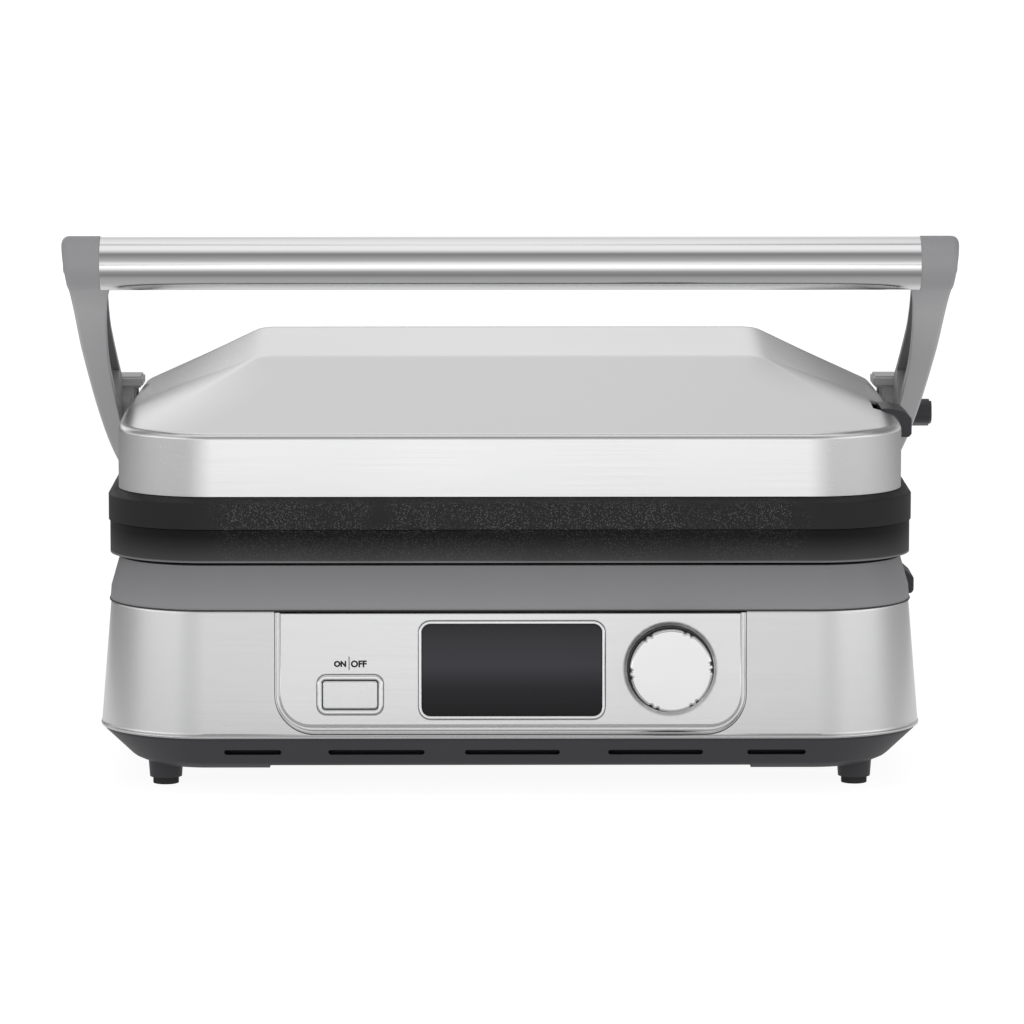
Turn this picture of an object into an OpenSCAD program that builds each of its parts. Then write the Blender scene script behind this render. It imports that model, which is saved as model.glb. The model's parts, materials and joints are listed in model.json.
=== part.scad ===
// Electric indoor grill with a hinged lid.
// +X is to the right, -Y is the front, +Z is up. The origin is the middle of the footprint, on the counter.
// All sizes are in millimetres.

/* [Base] */
// Width of the base at the foot of its steel skirt
base_w = 318; // [306:1:324]
// How far the base reaches in front of the origin
base_front = 160; // [156:1:166]
// How far the base reaches behind the origin
base_rear = 156; // [153:1:160]
// Corner radius at the foot of the skirt
base_corner_r = 42; // [34:1:50]
// Height of the skirt's lower edge above the counter
skirt_z0 = 24; // [22:0.5:26]
// Height of the seam between skirt and deck
seam_z = 72; // [70:0.5:74]
// How far the skirt leans in from its foot to the seam
skirt_lean = 4; // [2:0.5:6]
// Thickness of the skirt's steel sheet
skirt_t = 1.2; // [0.8:0.1:1.6]
// Wall of the plastic mouldings
wall = 2.5; // [2:0.1:3]
// Height of the deck's flat top
deck_top = 88.8; // [87:0.1:90]
// How far the deck's top edge is drawn in from the foot of the skirt
deck_inset = 7.4; // [6:0.1:9]

/* [Pan and feet] */
// Height of the pan's lowest edge
pan_z0 = 10; // [9:0.5:11]
// How far the pan's lower edge is drawn in from the skirt
pan_inset = 18; // [15:0.5:20]
// Height of the pan's floor inside
floor_z = 13.2; // [12.6:0.1:14]
// Half width of the raised belly between the skids
belly_half_w = 95.6; // [85:0.1:105]
// Depth of the belly above the skids
belly_h = 1.2; // [0.6:0.1:1.6]
// Height of a front vent slot
vent_h = 2.6; // [1.5:0.1:3.5]
// Height of the vent slots above the counter
vent_z = 17.4; // [15:0.1:19]
// Distance of the feet from the middle, sideways
foot_x = 134; // [125:1:138]
// Distance of the front feet in front of the origin
foot_front = 125; // [118:1:130]
// Distance of the rear feet behind the origin
foot_rear = 124; // [120:1:128]
// Diameter of a foot's leg where it meets the pan
leg_d = 14; // [12:0.5:16]
// Diameter of a rubber pad
pad_d = 10; // [8:0.5:11.5]
// Height of a rubber pad
pad_h = 2.7; // [2:0.1:4]
// Diameter of the stem that holds a pad in its leg
pad_stem_d = 4; // [3:0.5:5]
// Thickness of the lip that locates the skirt on the pan
lip_t = 1.6; // [1:0.1:2.4]
// Height of that lip above the foot of the skirt
lip_h = 4; // [3:0.5:5]

/* [Control panel] */
// Half width of the opening for the panel in the skirt
panel_gap_half_w = 90.4; // [88:0.1:95]
// Width of the groove between skirt and panel
groove_w = 3.6; // [2:0.1:5]
// Corner radius of the opening
panel_corner_r = 15.5; // [10:0.5:20]
// Height of the opening's lower edge above the foot of the skirt
panel_gap_y = 1.5; // [1.2:0.1:3]
// How far the panel's top edge stays below the seam
panel_top_gap = 0.9; // [0.5:0.1:2]
// Thickness of the panel's sheet
panel_t = 1.2; // [0.8:0.1:1.6]
// Width of the display window
display_w = 69; // [60:1:74]
// Height of the display window
display_h = 35.2; // [30:0.1:37]
// Sideways place of the display
display_x = 0.5; // [-2:0.5:3]
// Height of the display's middle above the foot of the skirt
display_y = 25.3; // [24:0.1:26]
// Width of the bright rim round the display
display_rim = 0.8; // [0.5:0.1:1.2]
// How far that rim stands out of the panel
rim_proud = 0.3; // [0.1:0.1:0.6]
// Corner radius of the display window
display_corner_r = 3.4; // [2:0.1:5]
// Width of the power button's cap
button_w = 21.8; // [18:0.1:24]
// Height of the power button's cap
button_h = 11; // [9:0.1:12]
// Width of the bright frame round the power button
button_frame = 1.8; // [1.2:0.1:2.2]
// How far that frame stands out of the panel
frame_proud = 0.8; // [0.4:0.1:1.2]
// How far the power button's cap stands out of the panel
button_proud = 1.2; // [1:0.1:2]
// Sideways place of the power button
button_x = -61.4; // [-64:0.1:-58]
// Height of the power button's middle above the foot of the skirt
button_y = 15.9; // [14:0.1:18]
// Diameter of the knob's cap
knob_d = 31.4; // [28:0.1:33]
// How far the knob stands out of the panel
knob_h = 11; // [9:0.5:14]
// Wall of the knob's cap
knob_wall = 2; // [1.5:0.1:2.4]
// Diameter of the dark ring behind the knob's cap
knob_ring_d = 34.4; // [33.4:0.1:36]
// Sideways place of the knob
knob_x = 61.2; // [58:0.1:62]
// Height of the knob's middle above the foot of the skirt
knob_y = 25.7; // [24:0.1:26]
// Diameter of the knob's spindle
spindle_d = 6; // [5:0.5:7]
// Pairs of notches round the knob's rim
knob_notch_pairs = 6; // [4:1:8]
// Diameter of a notch
notch_d = 1.8; // [1.2:0.1:2.4]
// Angle between the two notches of a pair
notch_spread = 10; // [8:1:16]

/* [Plates] */
// Width of the lower plate
plate_w = 311; // [306:1:313]
// How far the upper plate stands proud of the lower one
plate_proud = 0.5; // [0:0.1:0.8]
// How far the plates reach in front of the origin
plate_front = 152; // [150:0.5:154]
// How far the plates reach behind the origin
plate_rear = 98; // [94:0.5:99]
// Corner radius of the plates
plate_corner_r = 38; // [32:1:44]
// Height of the lower plate's edge
plate_h = 12.6; // [11.6:0.1:13]
// Gap between the two plates when the lid is closed
plate_gap = 0.3; // [0.2:0.1:0.5]
// Thickness of a plate's floor
plate_floor = 5.2; // [4:0.1:5.6]
// Width of a plate's rim
rim_w = 8.5; // [6:0.5:10]
// Height of the ribs that mark the food
rib_h = 3; // [1:0.1:3.2]
// Width of a rib at its foot
rib_w = 6; // [4:0.5:7]
// Distance from rib to rib
rib_pitch = 16; // [14:0.5:20]
// Width of the drain notch in the rear rim
drain_w = 16; // [12:1:20]
// How far the upper plate's top edge is drawn in
upper_draw = 3.4; // [2:0.1:5]
// Height of the chamfer that draws it in
upper_chamfer = 2; // [1:0.1:3]
// Distance of the plate clips from the middle, sideways
clip_x = 70; // [50:1:90]
// Width of a plate clip
clip_w = 18; // [12:1:24]
// Thickness of the clips' sheet
clip_t = 1.2; // [1:0.1:1.4]
// How far a lower clip's foot reaches behind the plate
clip_foot = 12; // [8:0.5:14]
// How far an upper clip reaches in from the plate's rear edge
clip_reach = 6; // [5:0.5:7]

/* [Heaters] */
// Half width of the reflector bowls
bowl_half_w = 124; // [110:1:125]
// How far the bowls reach in front of the origin
bowl_front = 120; // [110:1:122]
// How far the bowls reach behind the origin
bowl_rear = 74; // [70:1:76]
// Depth of the bowls
bowl_h = 13; // [12:0.5:15]
// Thickness of the bowls' sheet
bowl_t = 1; // [0.6:0.1:1.2]
// Width of the bowls' flange
bowl_flange = 6; // [4:0.5:7]
// Corner radius of the bowls
bowl_corner_r = 20; // [16:1:26]
// Diameter of the heating element's tube
heater_d = 6.5; // [5.5:0.1:7]
// Gap from the element to the plate
heater_gap = 1.5; // [1:0.1:3]
// Radius of the element's bends
heater_bend_r = 24; // [16:1:30]
// Half width of the element's loop
heater_half_w = 92; // [80:1:100]
// How far the element reaches in front of the origin
heater_front = 88; // [80:1:96]
// How far the element reaches behind the origin
heater_rear = 30; // [20:1:40]
// Diameter of the temperature probe
probe_d = 10; // [8:0.5:12]
// How far in front of the origin the probe lies
probe_y = 20; // [10:1:30]

/* [Lid] */
// Width of the lid
lid_w = 304.5; // [300:0.5:308]
// How far the lid reaches in front of the origin
lid_front = 148.5; // [147:0.5:150]
// How far the lid reaches behind the origin
lid_rear = 95; // [92:0.5:96]
// Corner radius of the lid
lid_corner_r = 36; // [30:1:42]
// Height of the lid's band in front
lid_band_h = 22; // [18:0.5:26]
// Height of the lid's sides above its lower edge
lid_side_h = 24; // [22:0.5:28]
// Half width of the lid's top panel
lid_top_half_w = 103.6; // [90:0.2:115]
// How far in front of the origin the top panel begins
crease_front = 47; // [40:1:55]
// How far behind the origin the top panel ends
crease_rear = 22; // [15:1:30]
// Height of the front crease above the lid's lower edge
crease_front_h = 44.4; // [40:0.1:46]
// Height of the rear crease above the lid's lower edge
crease_rear_h = 48.7; // [47:0.1:52]
// Thickness of the lid's steel sheet
lid_t = 1.2; // [0.8:0.1:1.6]

/* [Arms and handle] */
// Overall width over both arms
arms_w = 343; // [341:1:347]
// Thickness of an arm
arm_t = 12.5; // [11:0.1:13.5]
// Pull of the handle's end on the arm's curve, backwards and down
arm_lead = 44; // [36:1:52]
arm_dip = 7.4; // [4:0.1:12]
// Pull of the hinge's end on the arm's curve, forwards and up
arm_tail = 150; // [140:1:160]
arm_rise = 30.6; // [24:0.1:36]
// Thickness of an arm's outer wall and flanges
arm_wall = 3; // [2:0.1:4]
// How far an arm's outer face lies inside the end cap that holds the tube
arm_step = 2.5; // [1:0.1:3]
// How far that face lies inside the end cap at the hinge
arm_draw = 7; // [5:0.1:7.4]
// How far the hinge axis lies behind the origin
hinge_y = 130; // [128:1:132]
// Height of the hinge axis
hinge_z = 102.4; // [101:0.1:104]
// Radius of the hub round the hinge
hub_r = 12; // [10.5:0.1:12.6]
// Diameter of a hinge pin
hinge_pin_d = 8; // [6:0.5:9]
// How far the handle's axis lies in front of the origin
handle_y = 149; // [145:0.5:149]
// Height of the handle's axis
handle_z = 204.5; // [200:0.1:208]
// Diameter of the handle's tube
tube_d = 20.3; // [18:0.1:20.8]
// Wall of the handle's tube
tube_wall = 1.2; // [1:0.1:2]
// Length of the handle's tube
tube_len = 313; // [311:0.5:315]
// Diameter of the arm's end that holds the tube
cap_d = 21; // [20.8:0.1:23]
// How far behind the origin the lid's pivot lies
pivot_y = 28; // [24:0.5:32]
// Height of the lid's pivot
pivot_z = 133; // [132:0.1:134]
// Diameter of a pivot pin
pivot_pin_d = 7; // [5:0.5:8]
// Diameter of the pivot boss on an arm
pivot_boss_d = 14; // [11:0.5:16]
// Thickness of the liner in an arm's hollow inner side
liner_t = 1.6; // [1:0.1:2.4]
// Length of the plugs in the handle's tube
plug_len = 24; // [22:1:36]

/* [Drip tray] */
// Width of the drip tray
tray_w = 220; // [180:1:222]
// Length of the drip tray from front to back
tray_l = 116; // [100:1:118]
// Height of the drip tray
tray_h = 22; // [18:0.5:22.5]
// Wall of the drip tray
tray_t = 1.6; // [1.2:0.1:2.4]
// Width of the tray's pull
tray_pull_w = 60; // [40:1:90]
// How far the tray's pull stands out
tray_pull = 8; // [6:0.5:9]
// Thickness of the tray's pull
tray_pull_h = 4; // [3:0.5:6]
// Length of the drip chute from front to back
chute_l = 15.5; // [13:0.5:16]
// Wall of the drip chute
chute_t = 1.5; // [1:0.1:2]

/* [Buttons and fasteners] */
// Length of a plate release button, front to back
release_l = 26; // [20:1:32]
// How far in front of the origin the release buttons' middle lies
release_y = 81; // [70:1:90]
// Height of the lower release button
lower_release_h = 9.4; // [8:0.2:11]
// How far the lower release button stands out of the deck
lower_release_out = 4.2; // [4:0.1:7]
// Height of the upper release button
upper_release_h = 11.4; // [9:0.2:12]
// How far the upper release button stands out of the lid
upper_release_out = 5.6; // [4:0.1:7]
// Width of the hinge lever's finger piece
lever_w = 10.4; // [8:0.1:12]
// How far the hinge lever stands out of its arm
lever_out = 9.3; // [8:0.1:9.4]
// Travel of the hinge lever along the arm
lever_travel = 6; // [4:0.5:7]
// Diameter of a case screw
screw_d = 3; // [2.5:0.5:3.5]
// Distance of the case screws from the middle, sideways
screw_x = 131; // [130:0.5:132]
// Diameter of the pillars that the case screws run through
pillar_d = 11; // [9.5:0.5:12]
// Diameter of a handle screw
handle_screw_d = 4; // [3:0.5:5]
// Bore of the cord gland
gland_bore_d = 7.4; // [6:0.1:9]
// Sideways place of the cord gland
gland_x = -92; // [-100:1:-80]
// Height of the cord gland above the foot of the skirt
gland_y = 28; // [24:1:32]

/* [Electrics] */
// Width of the control board behind the panel
control_board_w = 176; // [170:1:180]
// Height of the control board
control_board_h = 38; // [34:0.5:40]
// Thickness of the circuit boards
board_t = 1.6; // [1:0.1:2]
// How far the control board stands behind the panel's face
board_depth = 14.4; // [13.6:0.1:16]
// Width of the power board
power_board_w = 80; // [76:1:84]
// Length of the power board from front to back
power_board_l = 84; // [80:1:86]
// Sideways place of the power board's middle
power_board_x = -82; // [-84:1:-78]
// How far in front of the origin the power board's middle lies
power_board_y = 20; // [18:1:24]
// Height of the power board above the pan's floor
board_stand_h = 7.8; // [6:0.1:9]
// Diameter of the stands under the power board
board_stand_d = 7; // [6:0.5:8]
// How far the stands lie from the power board's edges
board_stand_in = 4; // [4:0.5:6]
// Width of the terminal block
terminal_w = 16; // [14:0.5:16]
// Length of the terminal block
terminal_l = 28; // [26:0.5:28]
// Height of the terminal block
terminal_h = 14; // [12:0.5:16]
// Sideways place of the terminal block's middle
terminal_x = -133; // [-133:0.5:-132]

/* [Clearances] */
// Gap round a piece that is set in an opening of its neighbour
fit_gap = 0.3; // [0.2:0.05:0.5]
// Radial clearance of a shaft that turns in its bore
running_gap = 0.05; // [0.03:0.01:0.08]
// Radial clearance of a screw in its hole
screw_gap = 0.1; // [0.05:0.05:0.2]
// Gap round the drip tray in its channel
tray_gap = 0.4; // [0.3:0.1:0.8]

/* [Hidden] */
$fn = 64;

// Thickness of the slices that a tapered form is stretched between
slice_h = 0.02;
// How far a cut runs past the face it opens
past = 1;

lean_angle = atan(skirt_lean / (seam_z - skirt_z0));
panel_len = (seam_z - skirt_z0) / cos(lean_angle);
panel_half_w = panel_gap_half_w - groove_w;
panel_y0 = panel_gap_y + groove_w;
panel_y1 = panel_len - panel_top_gap;
carrier_half_w = panel_gap_half_w + 6;
carrier_t = wall;
carrier_back = skirt_t + carrier_t;
button_press = 1;
knob_press = 0.6;
control_r = 1.6;
encoder_w = 14;
encoder_h = 6.4;
plunger_d = 7.4;
plunger_t = 1.4;
plunger_z = -board_depth + 1 + knob_press + 0.2;

plate_z0 = deck_top + bowl_t;
plate_z1 = plate_z0 + plate_h;
upper_z0 = plate_z1 + plate_gap;
upper_h = plate_h - 0.7;
upper_z1 = upper_z0 + upper_h;
lid_z0 = upper_z1 + fit_gap;
frame_z1 = upper_z1 + wall + 0.5;
upper_half_w = plate_w / 2 + plate_proud;
gland_w = gland_bore_d + 5;

arm_x1 = arms_w / 2;
arm_x0 = arm_x1 - arm_t;
hub_x0 = arm_x0 - 6.7;
boss_x0 = arm_x0 - 4.3;
tube_half = tube_len / 2;
post_x0 = 136;
post_x1 = 151;
lever_t = 0.775;
// The arm's outer face draws in from this far in front of the origin
arm_draw_y = 80;
pivot_x1 = arm_x1 - 9.5;
// Where the arm's hollow begins and ends, and the size of the lever's root in its slot
hollow_t0 = 0.1;
hollow_t1 = 0.66;
lever_root_l = 7;
lever_root_w = 6;
lever_root_h = 3;
lever_gap = 0.4;
lower_release_z0 = seam_z - 2.4;
upper_release_z0 = lid_z0 + 16.6;

tray_z0 = floor_z + tray_gap;
tray_y1 = base_rear + 2;
tray_y0 = tray_y1 - tray_l;
tray_half_w = tray_w / 2;
terminal_y0 = tray_y0 - terminal_l - 1.8;
terminal_z0 = floor_z + 4;
chute_half_w = drain_w / 2 + 2;
chute_y0 = plate_rear + 1.5;
heater_end_x = 34;
bowl_stand_y = [-50, 0];
heater_end_l = 24;
probe_flange_d = probe_d + 10;
screw_split_z = 42;
screw_seat_z = pan_z0 + 4.6;
pan_step = 0.6;
screw_head_d = 2.2 * screw_d;
screw_rows = [-95, 5, 104];
// Left and right ends of the vent slots, and rows of the panel carrier's posts
vent_ends = [[-110, -88], [-70, -33], [-17.5, 19], [37.5, 74], [91, 113.5]];
carrier_post_x = [-84, -32, 36, 84];
carrier_post_y = [8.5, 42];

// ---- shared shapes ----

// A flat rectangle with round corners
module rounded_rect(x0, x1, y0, y1, r) {
    translate([x0 + r, y0]) square([x1 - x0 - 2 * r, y1 - y0]);
    translate([x0, y0 + r]) square([x1 - x0, y1 - y0 - 2 * r]);
    for (x = [x0 + r, x1 - r], y = [y0 + r, y1 - r]) translate([x, y]) circle(r);
}

// The same, centred
module rounded_tile(w, h, r) {
    rounded_rect(-w / 2, w / 2, -h / 2, h / 2, r);
}

// A box between two opposite corners
module block(low, high) {
    translate(low) cube(high - low);
}

// A round bar along X from x0 to x1
module bar_x(x0, x1, y, z, d) {
    translate([x0, y, z]) rotate([0, 90, 0]) cylinder(d = d, h = x1 - x0);
}

// Draws its children on the right, or mirrored on the left when side is -1
module on_side(side) {
    if (side > 0) children(); else mirror([1, 0, 0]) children();
}

// How far the skirt has leaned in at height z
function skirt_inset(z) = skirt_lean * (z - skirt_z0) / (seam_z - skirt_z0);

// The base's outline at the foot of the skirt, drawn in by inset
module base_outline(inset) {
    rounded_rect(-base_w / 2 + inset, base_w / 2 - inset, -base_front + inset, base_rear - inset,
        base_corner_r - inset);
}

// A thin slice of that outline
module base_slice(z, inset) {
    translate([0, 0, z]) linear_extrude(slice_h) base_outline(inset);
}

// A tapered block of the base's outline
module base_taper(z0, inset0, z1, inset1) {
    hull() {
        base_slice(z0, inset0, $fn = 48);
        base_slice(z1 - slice_h, inset1, $fn = 48);
    }
}

// Places its children on the leaning front face: x right, y up the face, z outwards
module on_front() {
    translate([0, -base_front, skirt_z0]) rotate([90 - lean_angle, 0, 0]) children();
}

// Places its children on the leaning rear face: x right, y down the face, z outwards
module on_rear() {
    translate([0, base_rear, skirt_z0]) rotate([lean_angle - 90, 0, 0]) children();
}

// The panel's outline: round corners below, square above
module panel_outline(half_w, y0, y1, r) {
    translate([-half_w, y0 + r]) square([2 * half_w, y1 - y0 - r]);
    translate([r - half_w, y0]) square([2 * (half_w - r), r + past]);
    for (x = [r - half_w, half_w - r]) translate([x, y0 + r]) circle(r);
}

// ---- base ----

// A leg under the pan, from the rubber pad up into the floor
module foot_leg(x, y) {
    translate([x, y, pad_h]) cylinder(d1 = leg_d - 1.5, d2 = leg_d, h = floor_z - pad_h - 0.5);
}

// The vent slots through the pan's sloping front
module front_vents() {
    for (ends = vent_ends)
        block([ends[0], -base_front - past, vent_z], [ends[1], 20 - base_front, vent_z + vent_h]);
}

// The pan's shell: sloping sides, a lip inside the skirt and a raised belly between the skids
module pan_shell() {
    difference() {
        base_taper(pan_z0, pan_inset, skirt_z0, pan_step);
        base_taper(floor_z, pan_inset + wall, skirt_z0 + past, pan_step + wall);
        block([-belly_half_w, -base_front, pan_z0 - past], [belly_half_w, base_rear, pan_z0 + belly_h]);
        front_vents();
    }
}

// The lip that locates the skirt, open in front for the panel's carrier
module pan_lip() {
    lip = skirt_t + fit_gap + 0.5;
    difference() {
        translate([0, 0, skirt_z0 - 0.5]) linear_extrude(lip_h + 0.5) base_outline(lip);
        translate([0, 0, skirt_z0 - past]) linear_extrude(10) base_outline(lip + lip_t);
        block([-carrier_half_w - 1, -base_front, skirt_z0 - past], [carrier_half_w + 1, 10 - base_front, 40]);
    }
}

module base_pan() {
    color([0.19, 0.19, 0.21]) difference() {
        union() {
            pan_shell();
            pan_lip();
            for (x = [-foot_x, foot_x], y = [-foot_front, foot_rear]) foot_leg(x, y);
            for (x = [-screw_x, screw_x], y = screw_rows) translate([x, y, floor_z - 1])
                cylinder(d = pillar_d, h = screw_split_z - floor_z + 1);
            for (x = [-1, 1], y = [-1, 1]) translate([
                power_board_x + x * (power_board_w / 2 - board_stand_in),
                y * (power_board_l / 2 - board_stand_in) - power_board_y, floor_z - 1])
                cylinder(d = board_stand_d, h = board_stand_h + 1);
            block([terminal_x - terminal_w / 2 + 1, terminal_y0, floor_z - 1],
                [terminal_x + terminal_w / 2, terminal_y0 + terminal_l, terminal_z0]);
        }
        block([-tray_half_w - tray_gap, tray_y0 - 0.5, floor_z],
            [tray_half_w + tray_gap, base_rear + past, tray_z0 + tray_h + tray_gap]);
        for (x = [-screw_x, screw_x], y = screw_rows) translate([x, y, 0]) {
            cylinder(d = screw_d + 2 * screw_gap, h = screw_split_z + past);
            cylinder(d = screw_head_d + 1, h = screw_seat_z);
        }
        for (x = [-foot_x, foot_x], y = [-foot_front, foot_rear]) translate([x, y, 0])
            cylinder(d = pad_stem_d + 2 * screw_gap, h = pad_h + 4.3);
    }
}

module rubber_foot(x, y) {
    color([0.08, 0.08, 0.08]) translate([x, y, 0]) {
        cylinder(d = pad_d, h = pad_h);
        translate([0, 0, pad_h]) cylinder(d = pad_stem_d, h = 4);
    }
}

module foot_front_left() { rubber_foot(-foot_x, -foot_front); }
module foot_front_right() { rubber_foot(foot_x, -foot_front); }
module foot_rear_left() { rubber_foot(-foot_x, foot_rear); }
module foot_rear_right() { rubber_foot(foot_x, foot_rear); }

module steel_skirt() {
    below = skirt_z0 - past;
    above = seam_z + past;
    color([0.78, 0.78, 0.78]) difference() {
        base_taper(skirt_z0, 0, seam_z, skirt_lean);
        base_taper(below, skirt_t + skirt_inset(below), above, skirt_t + skirt_inset(above));
        on_front() translate([0, 0, -4]) linear_extrude(8)
            panel_outline(panel_gap_half_w, panel_gap_y, panel_len + 5, panel_corner_r);
        block([-tray_half_w - tray_gap, 0, 0],
            [tray_half_w + tray_gap, base_rear + past, tray_z0 + tray_h + tray_gap]);
        on_rear() translate([gland_x - gland_w / 2 - fit_gap, -gland_y - gland_w / 2 - fit_gap, -4])
            cube([gland_w + 2 * fit_gap, gland_y, 8]);
        lower_release_room(fit_gap);
    }
}

module panel_carrier() {
    color([0.5, 0.5, 0.51]) on_front() difference() {
        union() {
            translate([-carrier_half_w, 0.4, -carrier_back])
                cube([2 * carrier_half_w, panel_len - 1.4, carrier_t]);
            for (x = carrier_post_x, y = carrier_post_y) translate([x, y, -board_depth])
                cylinder(d = 5, h = board_depth - skirt_t);
        }
        translate([display_x, display_y, -20]) linear_extrude(30)
            rounded_tile(display_w - 1, display_h - 1, 3);
        translate([button_x, button_y, -20]) linear_extrude(30)
            rounded_tile(button_w + 2 * fit_gap, button_h + 2 * fit_gap, control_r);
        translate([knob_x, knob_y, -20]) cylinder(d = spindle_d + 3.4, h = 30);
    }
}

module control_panel() {
    rim = display_rim + fit_gap;
    frame = button_frame + fit_gap;
    color([0.82, 0.82, 0.82]) on_front() translate([0, 0, -panel_t]) difference() {
        linear_extrude(panel_t)
            panel_outline(panel_half_w, panel_y0, panel_y1, panel_corner_r - groove_w);
        translate([display_x, display_y, -past]) linear_extrude(5)
            rounded_tile(display_w + 2 * rim, display_h + 2 * rim, display_corner_r + rim);
        translate([button_x, button_y, -past]) linear_extrude(5)
            rounded_tile(button_w + 2 * frame, button_h + 2 * frame, control_r + frame);
        translate([knob_x, knob_y, -past]) cylinder(d = spindle_d + 3.4, h = 5);
    }
}

module display_rim_frame() {
    color([0.86, 0.86, 0.86]) on_front() translate([display_x, display_y, -skirt_t]) difference() {
        linear_extrude(skirt_t + rim_proud) rounded_tile(display_w + 2 * display_rim,
            display_h + 2 * display_rim, display_corner_r + display_rim);
        translate([0, 0, -past]) linear_extrude(5)
            rounded_tile(display_w + 0.1, display_h + 0.1, display_corner_r);
    }
}

module display_window() {
    color([0.14, 0.14, 0.16]) on_front() translate([display_x, display_y, -skirt_t])
        linear_extrude(skirt_t + 0.1)
            rounded_tile(display_w - 0.1, display_h - 0.1, display_corner_r - 0.05);
}

module lcd_module() {
    color([0.25, 0.33, 0.3]) on_front() translate([display_x, display_y, 0]) {
        translate([0, 0, -skirt_t - 4.2]) linear_extrude(4)
            rounded_tile(display_w - 4, display_h - 4, 1);
        for (x = [-28, 28]) translate([x - 1.5, -12, -board_depth])
            cube([3, 24, board_depth - skirt_t - 4.2]);
    }
}

module power_button_frame() {
    outer_w = button_w + 2 * button_frame;
    outer_h = button_h + 2 * button_frame;
    color([0.85, 0.85, 0.85]) on_front() translate([button_x, button_y, -skirt_t]) difference() {
        linear_extrude(skirt_t + frame_proud) rounded_tile(outer_w, outer_h, control_r + button_frame);
        translate([0, 0, -past]) linear_extrude(5)
            rounded_tile(button_w + 2 * fit_gap, button_h + 2 * fit_gap, control_r);
    }
}

module power_button() {
    color([0.84, 0.84, 0.84]) on_front() translate([button_x, button_y, 0]) {
        translate([0, 0, -carrier_back]) linear_extrude(carrier_back + button_proud)
            rounded_tile(button_w, button_h, control_r - fit_gap);
        translate([0, 0, -carrier_back - 2]) cylinder(d = 4, h = 2.5);
    }
}

module power_switch() {
    top = carrier_back + 2 + button_press + fit_gap;
    color([0.12, 0.12, 0.13]) on_front() translate([button_x, button_y, 0]) {
        translate([-7, -5, -board_depth]) cube([14, 10, board_depth - top - 1]);
        translate([0, 0, -top - 1.5]) cylinder(d = 3.4, h = 1.5);
    }
}

module rotary_encoder() {
    inner = spindle_d + 2 * running_gap;
    color([0.7, 0.72, 0.7]) on_front() translate([knob_x, knob_y, -board_depth]) difference() {
        union() {
            translate([-encoder_w / 2, -encoder_w / 2, 0]) cube([encoder_w, encoder_w, encoder_h]);
            cylinder(d = spindle_d + 3, h = board_depth - fit_gap);
        }
        translate([0, 0, encoder_h - 2]) cylinder(d = inner, h = board_depth);
        translate([0, 0, 1]) cylinder(d = plunger_d + 2 * fit_gap, h = encoder_h - 2.8);
    }
}

module encoder_plunger() {
    color([0.8, 0.8, 0.75]) on_front() translate([knob_x, knob_y, plunger_z])
        cylinder(d = plunger_d, h = plunger_t);
}

module selector_spindle() {
    seat = plunger_z + plunger_t + running_gap;
    color([0.75, 0.75, 0.77]) on_front() translate([knob_x, knob_y, seat])
        cylinder(d = spindle_d, h = knob_h - 2.2 - seat);
}

// The ring that the cap sits on, with the socket for the spindle
module knob_ring() {
    color([0.16, 0.16, 0.17]) on_front() translate([knob_x, knob_y, knob_press + 0.4]) difference() {
        union() {
            cylinder(d = knob_ring_d, h = 1.4);
            cylinder(d = knob_d - 2 * knob_wall, h = knob_h - knob_press - 2);
        }
        translate([0, 0, -past])
            cylinder(d = spindle_d + 2 * running_gap, h = knob_h - knob_press - 2.6 + past);
    }
}

module selector_knob() {
    foot = knob_press + 1.9;
    color([0.84, 0.84, 0.84]) on_front() translate([knob_x, knob_y, 0]) difference() {
        union() {
            translate([0, 0, foot]) cylinder(d = knob_d, h = knob_h - foot - 1);
            translate([0, 0, knob_h - 1]) cylinder(d1 = knob_d, d2 = knob_d - 2, h = 1);
        }
        translate([0, 0, foot - past])
            cylinder(d = knob_d - 2 * knob_wall + 2 * screw_gap, h = knob_h - foot - 1.5 + past);
        for (k = [0 : knob_notch_pairs - 1], a = [0, notch_spread])
            rotate(k * 360 / knob_notch_pairs + a)
            translate([knob_d / 2 + 0.3, 0, foot - past]) cylinder(d = notch_d, h = knob_h);
    }
}

module control_board() {
    color([0.1, 0.35, 0.2]) on_front() translate([0, display_y, -board_depth - board_t / 2])
        cube([control_board_w, control_board_h, board_t], center = true);
}

module power_board() {
    board_z = floor_z + board_stand_h;
    color([0.1, 0.35, 0.2]) translate([power_board_x, -power_board_y, board_z + board_t / 2])
        cube([power_board_w, power_board_l, board_t], center = true);
    // relay, capacitor, transformer and heat sink, as shares of the board
    color([0.12, 0.12, 0.14]) translate([power_board_x - power_board_w * 0.4,
        -power_board_y - power_board_l * 0.36, board_z + board_t]) {
        cube([power_board_w * 0.35, power_board_l * 0.19, power_board_w * 0.19]);
        translate([power_board_w * 0.55, power_board_l * 0.1, 0])
            cylinder(d = power_board_w * 0.2, h = power_board_w * 0.3);
        translate([0, power_board_l * 0.29, 0])
            cube([power_board_w * 0.28, power_board_l * 0.33, power_board_w * 0.22]);
        translate([power_board_w * 0.42, power_board_l * 0.31, 0])
            cube([power_board_w * 0.32, power_board_l * 0.1, power_board_w * 0.27]);
    }
}

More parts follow.
